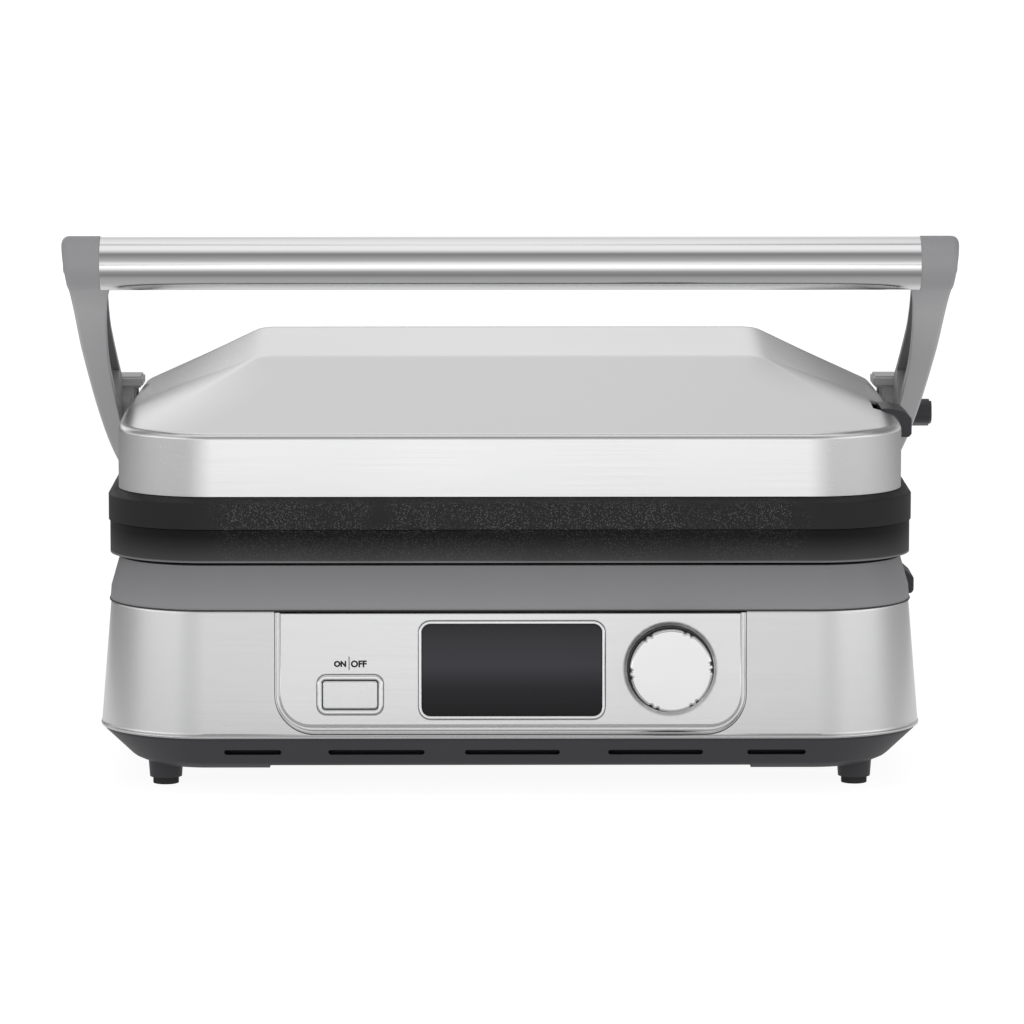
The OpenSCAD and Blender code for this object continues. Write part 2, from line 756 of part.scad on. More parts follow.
module terminal_block() {
    half_w = terminal_w / 2;
    poles = [for (k = [-1 : 1]) terminal_y0 + terminal_l / 2 + k * terminal_l / 3];
    color([0.85, 0.85, 0.8]) difference() {
        block([terminal_x - half_w, terminal_y0, terminal_z0],
            [terminal_x + half_w, terminal_y0 + terminal_l, terminal_z0 + terminal_h]);
        for (y = poles) translate([terminal_x, y, terminal_z0 + terminal_h / 4])
            cylinder(d = terminal_l / 6, h = terminal_h);
        for (y = poles) bar_x(terminal_x - half_w - past, terminal_x + half_w + past, y,
            terminal_z0 + terminal_h * 0.4, terminal_l / 8);
    }
}

// A square bush for the mains lead. It slides up into a notch of the skirt, between its collar
// outside and its flange inside
module cord_gland() {
    half = gland_w / 2;
    foot = gland_y - tray_z0 - tray_h - tray_gap + skirt_z0 - 1.4;
    color([0.1, 0.1, 0.1]) on_rear() translate([gland_x, -gland_y, 0]) difference() {
        union() {
            block([-half, -half, -14], [half, foot, 0.5]);
            translate([0, 0, 0.02]) linear_extrude(2.6)
                rounded_rect(-half - 3, half + 3, -half - 3, foot, 2.5);
            cylinder(d = gland_w, h = 8);
            block([-half - 2.5, -half - 2.5, -skirt_t - 3], [half + 2.5, foot, -skirt_t - 0.02]);
        }
        translate([0, 0, -15]) cylinder(d = gland_bore_d, h = 30);
    }
}

// The room that the lower release button needs, grown by gap
module lower_release_room(gap) {
    z0 = lower_release_z0;
    block([base_w / 2 - 14, -release_y - release_l / 2 - gap, z0 - gap],
        [base_w / 2 + 10, -release_y + release_l / 2 + gap, z0 + lower_release_h + gap]);
}

module deck_boss(x, y) {
    translate([x, y, screw_split_z]) difference() {
        cylinder(d = pillar_d - 2, h = deck_top - 1 - screw_split_z);
        translate([0, 0, -past]) cylinder(d = screw_d + 2 * screw_gap, h = 18 + past);
    }
}

module deck() {
    shoulder = seam_z + 5;
    color([0.5, 0.5, 0.51]) {
        difference() {
            hull() {
                base_slice(seam_z, skirt_lean - 0.4, $fn = 48);
                base_slice(shoulder, skirt_lean, $fn = 48);
                base_slice(deck_top - slice_h, deck_inset, $fn = 48);
            }
            hull() {
                base_slice(seam_z - past, skirt_lean - 0.4 + wall, $fn = 48);
                base_slice(shoulder, skirt_lean + wall, $fn = 48);
                base_slice(deck_top - wall, deck_inset + wall, $fn = 48);
            }
            translate([0, 0, deck_top - 5]) linear_extrude(10)
                rounded_rect(-bowl_half_w - 1, bowl_half_w + 1, -bowl_front - 1, bowl_rear + 1,
                    bowl_corner_r + 1);
            block([-chute_half_w - fit_gap, chute_y0 - fit_gap, deck_top - 5],
                [chute_half_w + fit_gap, chute_y0 + chute_l + fit_gap, deck_top + 5]);
            lower_release_room(fit_gap);
        }
        for (x = [-screw_x, screw_x], y = screw_rows) deck_boss(x, y);
    }
}

// A heating element's loop, its two ends turned down, or up where end_h is above 0
module heater_loop(z, end_h) {
    r = heater_bend_r;
    half = heater_half_w;
    front = -heater_front;
    rear = heater_rear;
    module bend(x, y, a) {
        translate([x, y, z]) rotate(a) rotate_extrude(angle = 90) translate([r, 0]) circle(d = heater_d);
    }
    module leg_y(x, y0, y1) {
        translate([x, y0, z]) rotate([-90, 0, 0]) cylinder(d = heater_d, h = y1 - y0);
    }
    bar_x(r - half, half - r, front, z, heater_d);
    for (side = [0, 1]) mirror([side, 0, 0]) {
        bend(half - r, front + r, -90);
        leg_y(half, front + r, rear - r);
        bend(half - r, rear - r, 0);
        bar_x(heater_end_x, half - r, rear, z, heater_d);
        translate([heater_end_x, rear, z]) sphere(d = heater_d);
        translate([heater_end_x, rear, min(z, z + end_h)]) cylinder(d = heater_d, h = abs(end_h));
    }
}

// A shallow bowl with its rim at z 0 and its floor below
module reflector_bowl(stand_h) {
    difference() {
        union() {
            translate([0, 0, -bowl_h - bowl_t]) linear_extrude(bowl_h + 2 * bowl_t)
                rounded_rect(-bowl_half_w, bowl_half_w, -bowl_front, bowl_rear, bowl_corner_r);
            linear_extrude(bowl_t) rounded_rect(-bowl_half_w - bowl_flange, bowl_half_w + bowl_flange,
                -bowl_front - bowl_flange, bowl_rear + bowl_flange, bowl_corner_r + bowl_flange);
        }
        translate([0, 0, -bowl_h]) linear_extrude(40)
            rounded_rect(bowl_t - bowl_half_w, bowl_half_w - bowl_t, bowl_t - bowl_front,
                bowl_rear - bowl_t, bowl_corner_r - bowl_t);
        for (x = [-heater_end_x, heater_end_x]) translate([x, heater_rear, -bowl_h - 5])
            cylinder(d = heater_d + 2 * fit_gap, h = 10);
    }
    for (x = [-heater_half_w, heater_half_w], y = bowl_stand_y) translate([x - 5, y - 3, -bowl_h - 0.5])
        cube([10, 6, stand_h + 0.5]);
    for (x = [-40, 40]) translate([x - 3, -heater_front - 5, -bowl_h - 0.5])
        cube([6, 10, stand_h + 0.5]);
}

// Height of the element's axis, counted from the bowl's rim
function heater_z_in_bowl() = bowl_t - heater_gap - heater_d / 2;
function heater_stand() = bowl_h + heater_z_in_bowl() - heater_d / 2 - running_gap;

module lower_reflector() {
    color([0.75, 0.76, 0.78]) translate([0, 0, deck_top]) reflector_bowl(heater_stand());
}

module lower_heater() {
    color([0.3, 0.3, 0.3]) heater_loop(deck_top + heater_z_in_bowl(), -heater_end_l);
}

module lower_probe() {
    color([0.8, 0.8, 0.8]) translate([0, -probe_y, deck_top - bowl_h]) {
        cylinder(d = probe_d, h = bowl_h + bowl_t - 0.6);
        cylinder(d = probe_flange_d, h = 2);
    }
}

// Ribs that stand on a plate's floor, from front to back
module plate_ribs() {
    count = floor((plate_w / 2 - rim_w - rib_w) / rib_pitch);
    top_w = rib_w * 0.55;
    for (k = [-count : count]) translate([k * rib_pitch, plate_rear - rim_w - 3.5, 0]) rotate([90, 0, 0])
        linear_extrude(plate_front + plate_rear - 2 * rim_w - 7)
            polygon([[-rib_w / 2, -0.5], [rib_w / 2, -0.5], [rib_w / 2, 0], [top_w / 2, rib_h],
                [-top_w / 2, rib_h], [-rib_w / 2, 0]]);
}

// The hollow inside a plate's rim
module plate_well(h) {
    linear_extrude(h) rounded_rect(rim_w - plate_w / 2, plate_w / 2 - rim_w, rim_w - plate_front,
        plate_rear - rim_w, plate_corner_r - rim_w);
}

module lower_plate() {
    color([0.15, 0.15, 0.16]) {
        difference() {
            translate([0, 0, plate_z0]) linear_extrude(plate_h)
                rounded_rect(-plate_w / 2, plate_w / 2, -plate_front, plate_rear, plate_corner_r);
            translate([0, 0, plate_z0 + plate_floor]) plate_well(20);
            block([-drain_w / 2, plate_rear - rim_w - 1, plate_z0 + plate_floor],
                [drain_w / 2, plate_rear + past, plate_z1 + past]);
            lower_clip_room(fit_gap);
        }
        translate([0, 0, plate_z0 + plate_floor]) plate_ribs();
    }
}

// Where the lower plate's two rear clips reach into its edge, grown by gap
module lower_clip_room(gap) {
    for (x = [-clip_x, clip_x]) block([x - clip_w / 2 - gap, plate_rear - 3 - gap, plate_z0 + 2.5 - gap],
        [x + clip_w / 2 + gap, plate_rear + 2, plate_z0 + 4 + gap]);
}

module lower_plate_clips() {
    half = clip_w / 2;
    y0 = plate_rear + 0.6;
    color([0.7, 0.7, 0.7]) for (x = [-clip_x, clip_x]) {
        block([x - half, plate_rear - 3, plate_z0 + 2.5], [x + half, y0 + clip_t, plate_z0 + 4]);
        block([x - half, y0, deck_top], [x + half, y0 + clip_t, plate_z0 + 4]);
        block([x - half, y0, deck_top], [x + half, plate_rear + clip_foot, deck_top + clip_t]);
    }
}

module lower_release_button() {
    z0 = lower_release_z0;
    x1 = base_w / 2 - skirt_lean + lower_release_out;
    x0 = x1 - 15;
    color([0.2, 0.2, 0.21]) {
        translate([0, release_l / 2 - release_y, 0]) rotate([90, 0, 0]) linear_extrude(release_l)
            polygon([[x0, z0], [x1 - 1, z0], [x1, z0 + 1.2], [x1, z0 + lower_release_h - 3],
                [x1 - 3.4, z0 + lower_release_h], [x0, z0 + lower_release_h]]);
        block([x0, -release_y - 6, z0 + lower_release_h - 1],
            [x0 + 2.5, 6 - release_y, deck_top - wall - 0.5]);
    }
}

// Carries fat from the plate's drain notch down to the tray
module drip_chute() {
    half = chute_half_w;
    y0 = chute_y0;
    z0 = tray_z0 + tray_h + 1.5;
    color([0.6, 0.6, 0.62]) difference() {
        union() {
            block([-half, y0, z0], [half, y0 + chute_l, plate_z0 + plate_floor - 0.3]);
            block([-half - 3, plate_rear + 0.3, deck_top], [half + 3, y0 + chute_l + 3, deck_top + 1.2]);
        }
        block([chute_t - half, y0 + chute_t, z0 - past], [half - chute_t, y0 + chute_l - chute_t, plate_z1]);
        block([-drain_w / 2, plate_rear - 1, plate_z0 + plate_floor - 1.5],
            [drain_w / 2, y0 + 2 * chute_t, plate_z1]);
    }
}

module drip_tray() {
    top = tray_z0 + tray_h;
    color([0.17, 0.17, 0.18]) difference() {
        union() {
            block([-tray_half_w, tray_y0, tray_z0], [tray_half_w, tray_y1, top]);
            block([-tray_pull_w / 2, tray_y1 - past, top - tray_pull_h],
                [tray_pull_w / 2, tray_y1 + tray_pull, top]);
        }
        block([tray_t - tray_half_w, tray_y0 + tray_t, tray_z0 + tray_t],
            [tray_half_w - tray_t, tray_y1 - tray_t, top + past]);
    }
}

module case_screws() {
    color([0.6, 0.6, 0.62]) for (x = [-screw_x, screw_x], y = screw_rows) translate([x, y, screw_seat_z]) {
        translate([0, 0, -3]) difference() {
            cylinder(d = screw_head_d, h = 3);
            translate([-0.6, -2.2, -past]) cube([1.2, 4.4, 1.2 + past]);
            translate([-2.2, -0.6, -past]) cube([4.4, 1.2, 1.2 + past]);
        }
        cylinder(d = screw_d, h = screw_split_z + 14 - screw_seat_z);
    }
}

// ---- hinge ----

module hinge_post(side) {
    color([0.5, 0.5, 0.51]) on_side(side) difference() {
        union() {
            block([post_x0, hinge_y - hub_r, deck_top], [post_x1, hinge_y + hub_r, hinge_z]);
            bar_x(post_x0, post_x1, hinge_y, hinge_z, 2 * hub_r);
        }
        bar_x(post_x0 + 2, post_x1 + past, hinge_y, hinge_z, hinge_pin_d + 2 * running_gap);
    }
}

module hinge_pin(side) {
    color([0.7, 0.7, 0.72]) on_side(side)
        bar_x(post_x0 + 2, arm_x1 - arm_draw - 2.2, hinge_y, hinge_z, hinge_pin_d);
}

// A flanged bush in the arm's hub
module hinge_bush(side) {
    color([0.75, 0.6, 0.35]) on_side(side) difference() {
        union() {
            bar_x(hub_x0 - 1, hub_x0, hinge_y, hinge_z, 2 * hub_r - 4);
            bar_x(hub_x0 - 1, arm_x1 - arm_draw - 2, hinge_y, hinge_z, hinge_pin_d + 4);
        }
        bar_x(hub_x0 - 2, arm_x1, hinge_y, hinge_z, hinge_pin_d + 2 * running_gap);
    }
}

module hinge_post_left() { hinge_post(-1); }
module hinge_post_right() { hinge_post(1); }
module hinge_pin_left() { hinge_pin(-1); }
module hinge_pin_right() { hinge_pin(1); }
module hinge_bush_left() { hinge_bush(-1); }
module hinge_bush_right() { hinge_bush(1); }

// ---- arms and handle ----

// The arm's middle line runs from the handle back and down to the hinge
arm_curve = [
    [-handle_y, handle_z], [arm_lead - handle_y, handle_z - arm_dip],
    [hinge_y - arm_tail, hinge_z + arm_rise], [hinge_y, hinge_z]
];
function arm_point(t) = pow(1 - t, 3) * arm_curve[0] + 3 * t * pow(1 - t, 2) * arm_curve[1]
    + 3 * t * t * (1 - t) * arm_curve[2] + pow(t, 3) * arm_curve[3];
function arm_run(t) = pow(1 - t, 2) * (arm_curve[1] - arm_curve[0])
    + 2 * t * (1 - t) * (arm_curve[2] - arm_curve[1]) + t * t * (arm_curve[3] - arm_curve[2]);
function arm_side(t) = [-arm_run(t)[1], arm_run(t)[0]] / norm(arm_run(t));
function arm_half(t) = cap_d / 2 - 1.1 + (hub_r - cap_d / 2 + 1.1) * t * t;
// The arm's outer face at a distance behind the origin
function arm_outer(y) = arm_x1 - arm_step
    - (arm_draw - arm_step) * max(0, min(1, (y + arm_draw_y) / (hinge_y + arm_draw_y)));
lever_angle = atan2(arm_run(lever_t)[1], arm_run(lever_t)[0]);
lever_x = arm_outer(arm_point(lever_t)[0] - lever_travel - lever_root_l);

// The arm's outline between two stations of its middle line, drawn in by inset
module arm_band(t0, t1, inset) {
    steps = 14;
    stations = [for (k = [0 : steps]) t0 + (t1 - t0) * k / steps];
    upper = [for (t = stations) arm_point(t) + arm_side(t) * (arm_half(t) - inset)];
    lower = [for (t = stations) arm_point(t) - arm_side(t) * (arm_half(t) - inset)];
    polygon(concat(upper, [for (k = [steps : -1 : 0]) lower[k]]));
}

// Stands a flat outline of y and z up, thick along X from x0 to x1
module extrude_x(x0, x1) {
    translate([x0, 0, 0]) rotate([90, 0, 90]) linear_extrude(x1 - x0) children();
}

// Puts its children at the lever, with x along the arm towards the hinge
module at_lever() {
    place = arm_point(lever_t);
    translate([0, place[0], place[1]]) rotate([lever_angle, 0, 0]) children();
}

// Everything outside the arm's outer face, brought in by inset
module beyond_arm(inset) {
    x0 = arm_x1 - arm_step - inset;
    x1 = arm_x1 - arm_draw - inset;
    front = -handle_y - cap_d;
    rear = hinge_y + 2 * hub_r;
    linear_extrude(handle_z + cap_d)
        polygon([[x0, front], [x0, -arm_draw_y], [x1, hinge_y], [x1, rear], [2 * arm_x1, rear],
            [2 * arm_x1, front]]);
}

module arm(side) {
    plug_x = tube_half + 0.05;
    difference() {
        union() {
            difference() {
                union() {
                    extrude_x(arm_x0, arm_x1) arm_band(0, 1, 0);
                    bar_x(hub_x0, arm_x1, hinge_y, hinge_z, 2 * hub_r);
                }
                beyond_arm(0);
            }
            bar_x(plug_x, arm_x1, -handle_y, handle_z, cap_d);
            bar_x(boss_x0, arm_x0 + 2, pivot_y, pivot_z, pivot_boss_d);
        }
        difference() {
            extrude_x(arm_x0 - past, arm_x1) arm_band(hollow_t0, hollow_t1, arm_wall);
            beyond_arm(arm_wall);
        }
        bar_x(hub_x0 - past, arm_x1 - arm_draw - 2, hinge_y, hinge_z, hinge_pin_d + 4 + 2 * running_gap);
        bar_x(boss_x0 - past, pivot_x1, pivot_y, pivot_z, pivot_pin_d + 2 * running_gap);
        bar_x(plug_x - past, arm_x1 + past, -handle_y, handle_z, handle_screw_d + 2 * screw_gap);
        bar_x(arm_x1 - 4, arm_x1 + past, -handle_y, handle_z, 2 * handle_screw_d);
        if (side > 0) at_lever()
            block([lever_x - lever_root_h, -lever_root_l / 2 - lever_gap - lever_travel,
                -lever_root_w / 2 - lever_gap],
                [arm_x1 + past, lever_root_l / 2 + lever_gap, lever_root_w / 2 + lever_gap]);
    }
}

module arm_left() { color([0.51, 0.51, 0.52]) on_side(-1) arm(-1); }
module arm_right() { color([0.51, 0.51, 0.52]) arm(1); }

module arm_liner(side) {
    color([0.24, 0.24, 0.25]) on_side(side) difference() {
        intersection() {
            extrude_x(arm_x0, arm_x1)
                arm_band(hollow_t0 + 0.004, hollow_t1 - 0.005, arm_wall + fit_gap);
            beyond_arm(arm_wall + liner_t);
        }
        beyond_arm(arm_wall);
    }
}

module arm_liner_left() { arm_liner(-1); }
module arm_liner_right() { arm_liner(1); }

module handle_tube() {
    color([0.82, 0.82, 0.83]) difference() {
        bar_x(-tube_half, tube_half, -handle_y, handle_z, tube_d);
        bar_x(-tube_half - past, tube_half + past, -handle_y, handle_z, tube_d - 2 * tube_wall);
    }
}

module tube_plug(side) {
    color([0.2, 0.2, 0.2]) on_side(side) difference() {
        bar_x(tube_half - plug_len, tube_half, -handle_y, handle_z, tube_d - 2 * tube_wall - 2 * running_gap);
        bar_x(tube_half - plug_len - past, tube_half + past, -handle_y, handle_z,
            handle_screw_d + 2 * screw_gap);
    }
}

module tube_plug_left() { tube_plug(-1); }
module tube_plug_right() { tube_plug(1); }

module handle_screws() {
    color([0.6, 0.6, 0.62]) for (side = [-1, 1]) on_side(side) {
        bar_x(tube_half - plug_len + 4, arm_x1 - 4, -handle_y, handle_z, handle_screw_d);
        difference() {
            bar_x(arm_x1 - 4, arm_x1 - 1.4, -handle_y, handle_z, 2 * handle_screw_d - 0.6);
            translate([arm_x1 - 2.6, -handle_y, handle_z]) rotate([0, 90, 0]) cylinder(d = 3, h = 3, $fn = 6);
        }
    }
}

module hinge_lever() {
    color([0.1, 0.1, 0.1]) at_lever() {
        block([lever_x - lever_root_h + lever_gap, -lever_root_l / 2, -lever_root_w / 2],
            [lever_x + 1, lever_root_l / 2, lever_root_w / 2]);
        translate([lever_x + fit_gap, 0, 0]) rotate([90, 0, 90]) {
            linear_extrude(lever_out - fit_gap - 1) rounded_tile(12, lever_w, 4);
            translate([0, 0, lever_out - fit_gap - 1]) linear_extrude(1)
                rounded_tile(10.4, lever_w - 1.6, 3.4);
        }
    }
}

// ---- lid ----

// The lid's outer form, drawn in by inset on every side but the bottom
module lid_form(inset, z0) {
    half = lid_w / 2 - inset;
    top = lid_z0 + crease_rear_h;
    intersection() {
        translate([0, 0, z0]) linear_extrude(2 * crease_rear_h)
            rounded_rect(-half, half, inset - lid_front, lid_rear - inset, lid_corner_r - inset);
        extrude_x(-half - past, half + past) polygon([
            [inset - lid_front - past, z0 - past],
            [inset - lid_front - past, lid_z0 + lid_band_h - inset],
            [inset - lid_front, lid_z0 + lid_band_h - inset],
            [-crease_front, lid_z0 + crease_front_h - inset],
            [crease_rear, top - inset],
            [lid_rear - inset, lid_z0 + lid_side_h - inset],
            [lid_rear + past, lid_z0 + lid_side_h - inset],
            [lid_rear + past, z0 - past]]);
        translate([0, lid_rear + past, 0]) rotate([90, 0, 0]) linear_extrude(lid_front + lid_rear + 2 * past)
            polygon([
                [-half - past, z0 - past], [-half - past, lid_z0 + lid_side_h - inset],
                [-half, lid_z0 + lid_side_h - inset], [-lid_top_half_w, lid_z0 + crease_front_h + 1 - inset],
                [inset - lid_top_half_w + 12, top + past], [lid_top_half_w - 12 - inset, top + past],
                [lid_top_half_w, lid_z0 + crease_front_h + 1 - inset],
                [half, lid_z0 + lid_side_h - inset], [half + past, lid_z0 + lid_side_h - inset],
                [half + past, z0 - past]]);
    }
}

// The room that the upper release button needs, grown by gap
module upper_release_room(gap) {
    z0 = upper_release_z0;
    block([lid_w / 2 - 10, -release_y - release_l / 2 - gap, z0 - gap],
        [lid_w / 2 + 10, -release_y + release_l / 2 + gap, z0 + upper_release_h + 3]);
}

module lid_shell() {
    color([0.8, 0.8, 0.8]) difference() {
        lid_form(0, lid_z0);
        lid_form(lid_t, lid_z0 - past);
        upper_release_room(fit_gap);
        for (side = [-1, 1]) on_side(side)
            bar_x(lid_w / 2 - 6, lid_w / 2 + 3, pivot_y, pivot_z, pivot_pin_d + 2.2);
    }
}

module lid_frame() {
    gap = lid_t + fit_gap;
    half = lid_w / 2 - gap;
    color([0.13, 0.13, 0.14]) difference() {
        translate([0, 0, upper_z1]) linear_extrude(frame_z1 - upper_z1)
            rounded_rect(-half, half, gap - lid_front, lid_rear - gap, lid_corner_r - gap);
        translate([0, 0, upper_z1 - past]) linear_extrude(20)
            rounded_rect(-bowl_half_w - 1, bowl_half_w + 1, -bowl_front - 1, bowl_rear + 1,
                    bowl_corner_r + 1);
    }
}

module upper_reflector() {
    color([0.75, 0.76, 0.78]) translate([0, 0, frame_z1]) mirror([0, 0, 1]) translate([0, 0, -bowl_t])
        reflector_bowl(upper_heater_stand());
}

// The upper element lies close over the upper plate, below the frame's top
upper_heater_z = upper_z1 + heater_gap + heater_d / 2 + 1;
function upper_heater_stand() = frame_z1 + bowl_t + bowl_h - upper_heater_z - heater_d / 2 - running_gap;

module upper_heater() {
    color([0.3, 0.3, 0.3]) heater_loop(upper_heater_z, heater_end_l);
}

module upper_probe() {
    color([0.8, 0.8, 0.8]) translate([0, -probe_y, upper_z1 + 0.6]) {
        cylinder(d = probe_d, h = frame_z1 + bowl_t + bowl_h - upper_z1 - 0.6);
        translate([0, 0, frame_z1 + bowl_t + bowl_h - upper_z1 - 2.6]) cylinder(d = probe_flange_d, h = 2);
    }
}

module upper_plate() {
    draw = upper_draw;
    half = upper_half_w;
    front = plate_front + plate_proud;
    color([0.15, 0.15, 0.16]) {
        difference() {
            union() {
                translate([0, 0, upper_z0]) linear_extrude(upper_h - upper_chamfer)
                    rounded_rect(-half, half, -front, plate_rear, plate_corner_r);
                hull() {
                    translate([0, 0, upper_z1 - upper_chamfer]) linear_extrude(slice_h, $fn = 32)
                        rounded_rect(-half, half, -front, plate_rear, plate_corner_r);
                    translate([0, 0, upper_z1 - slice_h]) linear_extrude(slice_h, $fn = 32)
                        rounded_rect(draw - half, half - draw, draw - front, plate_rear - draw,
                            plate_corner_r - draw);
                }
            }
            translate([0, 0, upper_z1 - plate_floor - 20]) plate_well(20);
            upper_clip_room(fit_gap);
        }
        translate([0, 0, upper_z1 - plate_floor]) mirror([0, 0, 1]) plate_ribs();
    }
}

// Where the upper plate's two rear clips reach into its edge, grown by gap
module upper_clip_room(gap) {
    for (x = [-clip_x, clip_x])
        block([x - clip_w / 2 - gap, plate_rear - clip_reach - gap, upper_z1 - 5 - gap],
            [x + clip_w / 2 + gap, plate_rear + 2, upper_z1 + past]);
}

module upper_plate_clips() {
    half = clip_w / 2;
    y1 = plate_rear - 3.2;
    color([0.7, 0.7, 0.7]) for (x = [-clip_x, clip_x]) {
        block([x - half, y1 - clip_t, upper_z1 - 5], [x + half, y1, upper_z1]);
        block([x - half, plate_rear - clip_reach, upper_z1 - 5], [x + half, y1, upper_z1 - 5 + clip_t]);
    }
}

module upper_release_button() {
    z0 = upper_release_z0;
    x1 = lid_w / 2 + upper_release_out;
    x0 = x1 - 12;
    h = upper_release_h;
    color([0.16, 0.16, 0.17]) translate([0, release_l / 2 - release_y, 0]) rotate([90, 0, 0])
        linear_extrude(release_l) polygon([[x0, z0], [x1 - 1, z0], [x1, z0 + 1.4], [x1, z0 + h - 4],
            [x1 - 3, z0 + h - 1.2], [x1 - 9, z0 + h], [x0, z0 + h]]);
}

module pivot_pin(side) {
    color([0.7, 0.7, 0.72]) on_side(side)
        bar_x(lid_w / 2 - 12, pivot_x1 - 0.2, pivot_y, pivot_z, pivot_pin_d);
}

module pivot_bracket(side) {
    x0 = lid_w / 2 - 14.25;
    x1 = x0 + 10;
    eye_d = pivot_pin_d + 4;
    color([0.6, 0.6, 0.62]) on_side(side) difference() {
        union() {
            block([x0, pivot_y - 11, frame_z1], [x1, pivot_y + 11, pivot_z - 1]);
            bar_x(x0, x1, pivot_y, pivot_z, eye_d);
        }
        bar_x(x0 + 2, x1 + past, pivot_y, pivot_z, pivot_pin_d + 2 * running_gap);
    }
}

module pivot_pin_left() { pivot_pin(-1); }
module pivot_pin_right() { pivot_pin(1); }
module pivot_bracket_left() { pivot_bracket(-1); }
module pivot_bracket_right() { pivot_bracket(1); }

base_pan();
foot_front_left();
foot_front_right();
foot_rear_left();
foot_rear_right();
steel_skirt();
panel_carrier();
control_panel();
display_rim_frame();
display_window();
lcd_module();
power_button_frame();
power_button();
power_switch();
rotary_encoder();
encoder_plunger();
selector_spindle();
selector_knob();
knob_ring();
control_board();
power_board();
terminal_block();
cord_gland();
deck();
lower_reflector();
lower_heater();
lower_probe();
lower_plate();
lower_plate_clips();
lower_release_button();
drip_chute();
drip_tray();
case_screws();
hinge_post_left();
hinge_post_right();
hinge_pin_left();
hinge_pin_right();
hinge_bush_left();
hinge_bush_right();
arm_left();
arm_right();
arm_liner_left();
arm_liner_right();
handle_tube();
tube_plug_left();
tube_plug_right();
handle_screws();
hinge_lever();
pivot_pin_left();
pivot_pin_right();
pivot_bracket_left();
pivot_bracket_right();
lid_shell();
lid_frame();
upper_reflector();
upper_heater();
upper_probe();
upper_plate();
upper_plate_clips();
upper_release_button();
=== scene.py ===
import json
import math

import bmesh
import bpy
from mathutils import Matrix, Vector

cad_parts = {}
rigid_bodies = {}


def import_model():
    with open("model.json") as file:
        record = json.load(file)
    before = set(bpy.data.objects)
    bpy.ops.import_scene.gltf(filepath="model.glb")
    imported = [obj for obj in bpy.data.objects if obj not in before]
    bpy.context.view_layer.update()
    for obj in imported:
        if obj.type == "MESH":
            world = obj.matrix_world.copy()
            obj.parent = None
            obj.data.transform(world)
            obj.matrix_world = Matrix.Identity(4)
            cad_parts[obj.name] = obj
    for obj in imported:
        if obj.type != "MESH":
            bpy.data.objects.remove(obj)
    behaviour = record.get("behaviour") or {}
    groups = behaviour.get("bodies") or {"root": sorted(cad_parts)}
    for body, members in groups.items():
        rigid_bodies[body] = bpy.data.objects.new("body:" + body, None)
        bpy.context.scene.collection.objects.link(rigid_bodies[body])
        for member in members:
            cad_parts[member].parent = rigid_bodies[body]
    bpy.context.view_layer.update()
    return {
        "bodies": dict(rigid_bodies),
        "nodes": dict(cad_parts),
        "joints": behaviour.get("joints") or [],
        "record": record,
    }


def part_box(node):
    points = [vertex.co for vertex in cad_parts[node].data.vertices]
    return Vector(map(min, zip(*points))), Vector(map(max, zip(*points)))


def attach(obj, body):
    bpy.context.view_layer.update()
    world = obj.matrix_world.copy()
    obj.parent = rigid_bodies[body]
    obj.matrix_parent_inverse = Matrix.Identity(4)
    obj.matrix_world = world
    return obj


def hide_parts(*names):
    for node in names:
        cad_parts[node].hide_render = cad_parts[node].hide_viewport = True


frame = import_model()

mm = 0.001
nodes = frame["nodes"]
print("frame loaded:", len(nodes), "CAD nodes")

# Camera, floor and light

photo = {
    "lens": 194.8,          # mm, on a 36 mm wide sensor
    "place": (-0.012, -2.2542, 0.3755),
    "pitchDown": 7.213,     # degrees
    "yawRight": -0.343,
}

studio = {
    "floorShade": 0.14,
    "floorGlow": (0.93, 0.12),  # what the camera sees near the grill, and what far away adds
    "floorBounce": 1.05,        # what matt surfaces get from it
    "floorSize": 24.0,
    # what polished metal sees in the floor: by y in front of the grill, at the sides, behind and under it
    "floorAhead": (-1.1, -0.15, ((0, 1.1), (0.3, 0.85), (0.47, 0.6), (0.56, 0.36), (0.64, 0.2), (0.8, 0.06),
        (0.88, 0.2), (0.95, 0.15), (1, 0.0))),
    "floorBeside": (0.27, 0.36),    # left and right
    "floorBehind": (0.14, 0.18),
    "floorUnder": 0.6,
    # strength of the sky by the sine of the height above the horizon
    "front": ((0, 0.98), (0.07, 0.93), (0.225, 0.56), (0.29, 0.45), (0.69, 0.22), (0.755, 0.28), (0.86, 0.72),
        (0.93, 0.92), (1, 0.92)),
    "side": ((0, 1.42), (0.16, 1.22), (0.32, 0.5), (0.6, 0.5), (0.8, 0.72), (1, 0.92)),
    "back": ((0, 0.12), (0.087, 0.16), (0.15, 0.4), (0.24, 1.04), (0.4, 0.72), (0.53, 0.62), (0.72, 0.74),
        (0.9, 0.84), (1, 0.92)),
    "rearLeft": 0.5,            # the sides grow darker towards the back
    "rearRight": 0.42,
    "backTurn": 0.3,            # turns the bright back to the left
    "backRight": 0.7,           # and dims its right half
}


def addCamera(view):
    data = bpy.data.cameras.new("photo_camera")
    data.lens = view["lens"]
    data.sensor_width = 36
    data.clip_start = 0.01
    data.clip_end = 60
    camera = bpy.data.objects.new("photo_camera", data)
    bpy.context.scene.collection.objects.link(camera)
    camera.location = view["place"]
    camera.rotation_euler = (math.radians(90 - view["pitchDown"]), 0, math.radians(view["yawRight"]))
    bpy.context.scene.camera = camera


addCamera(photo)


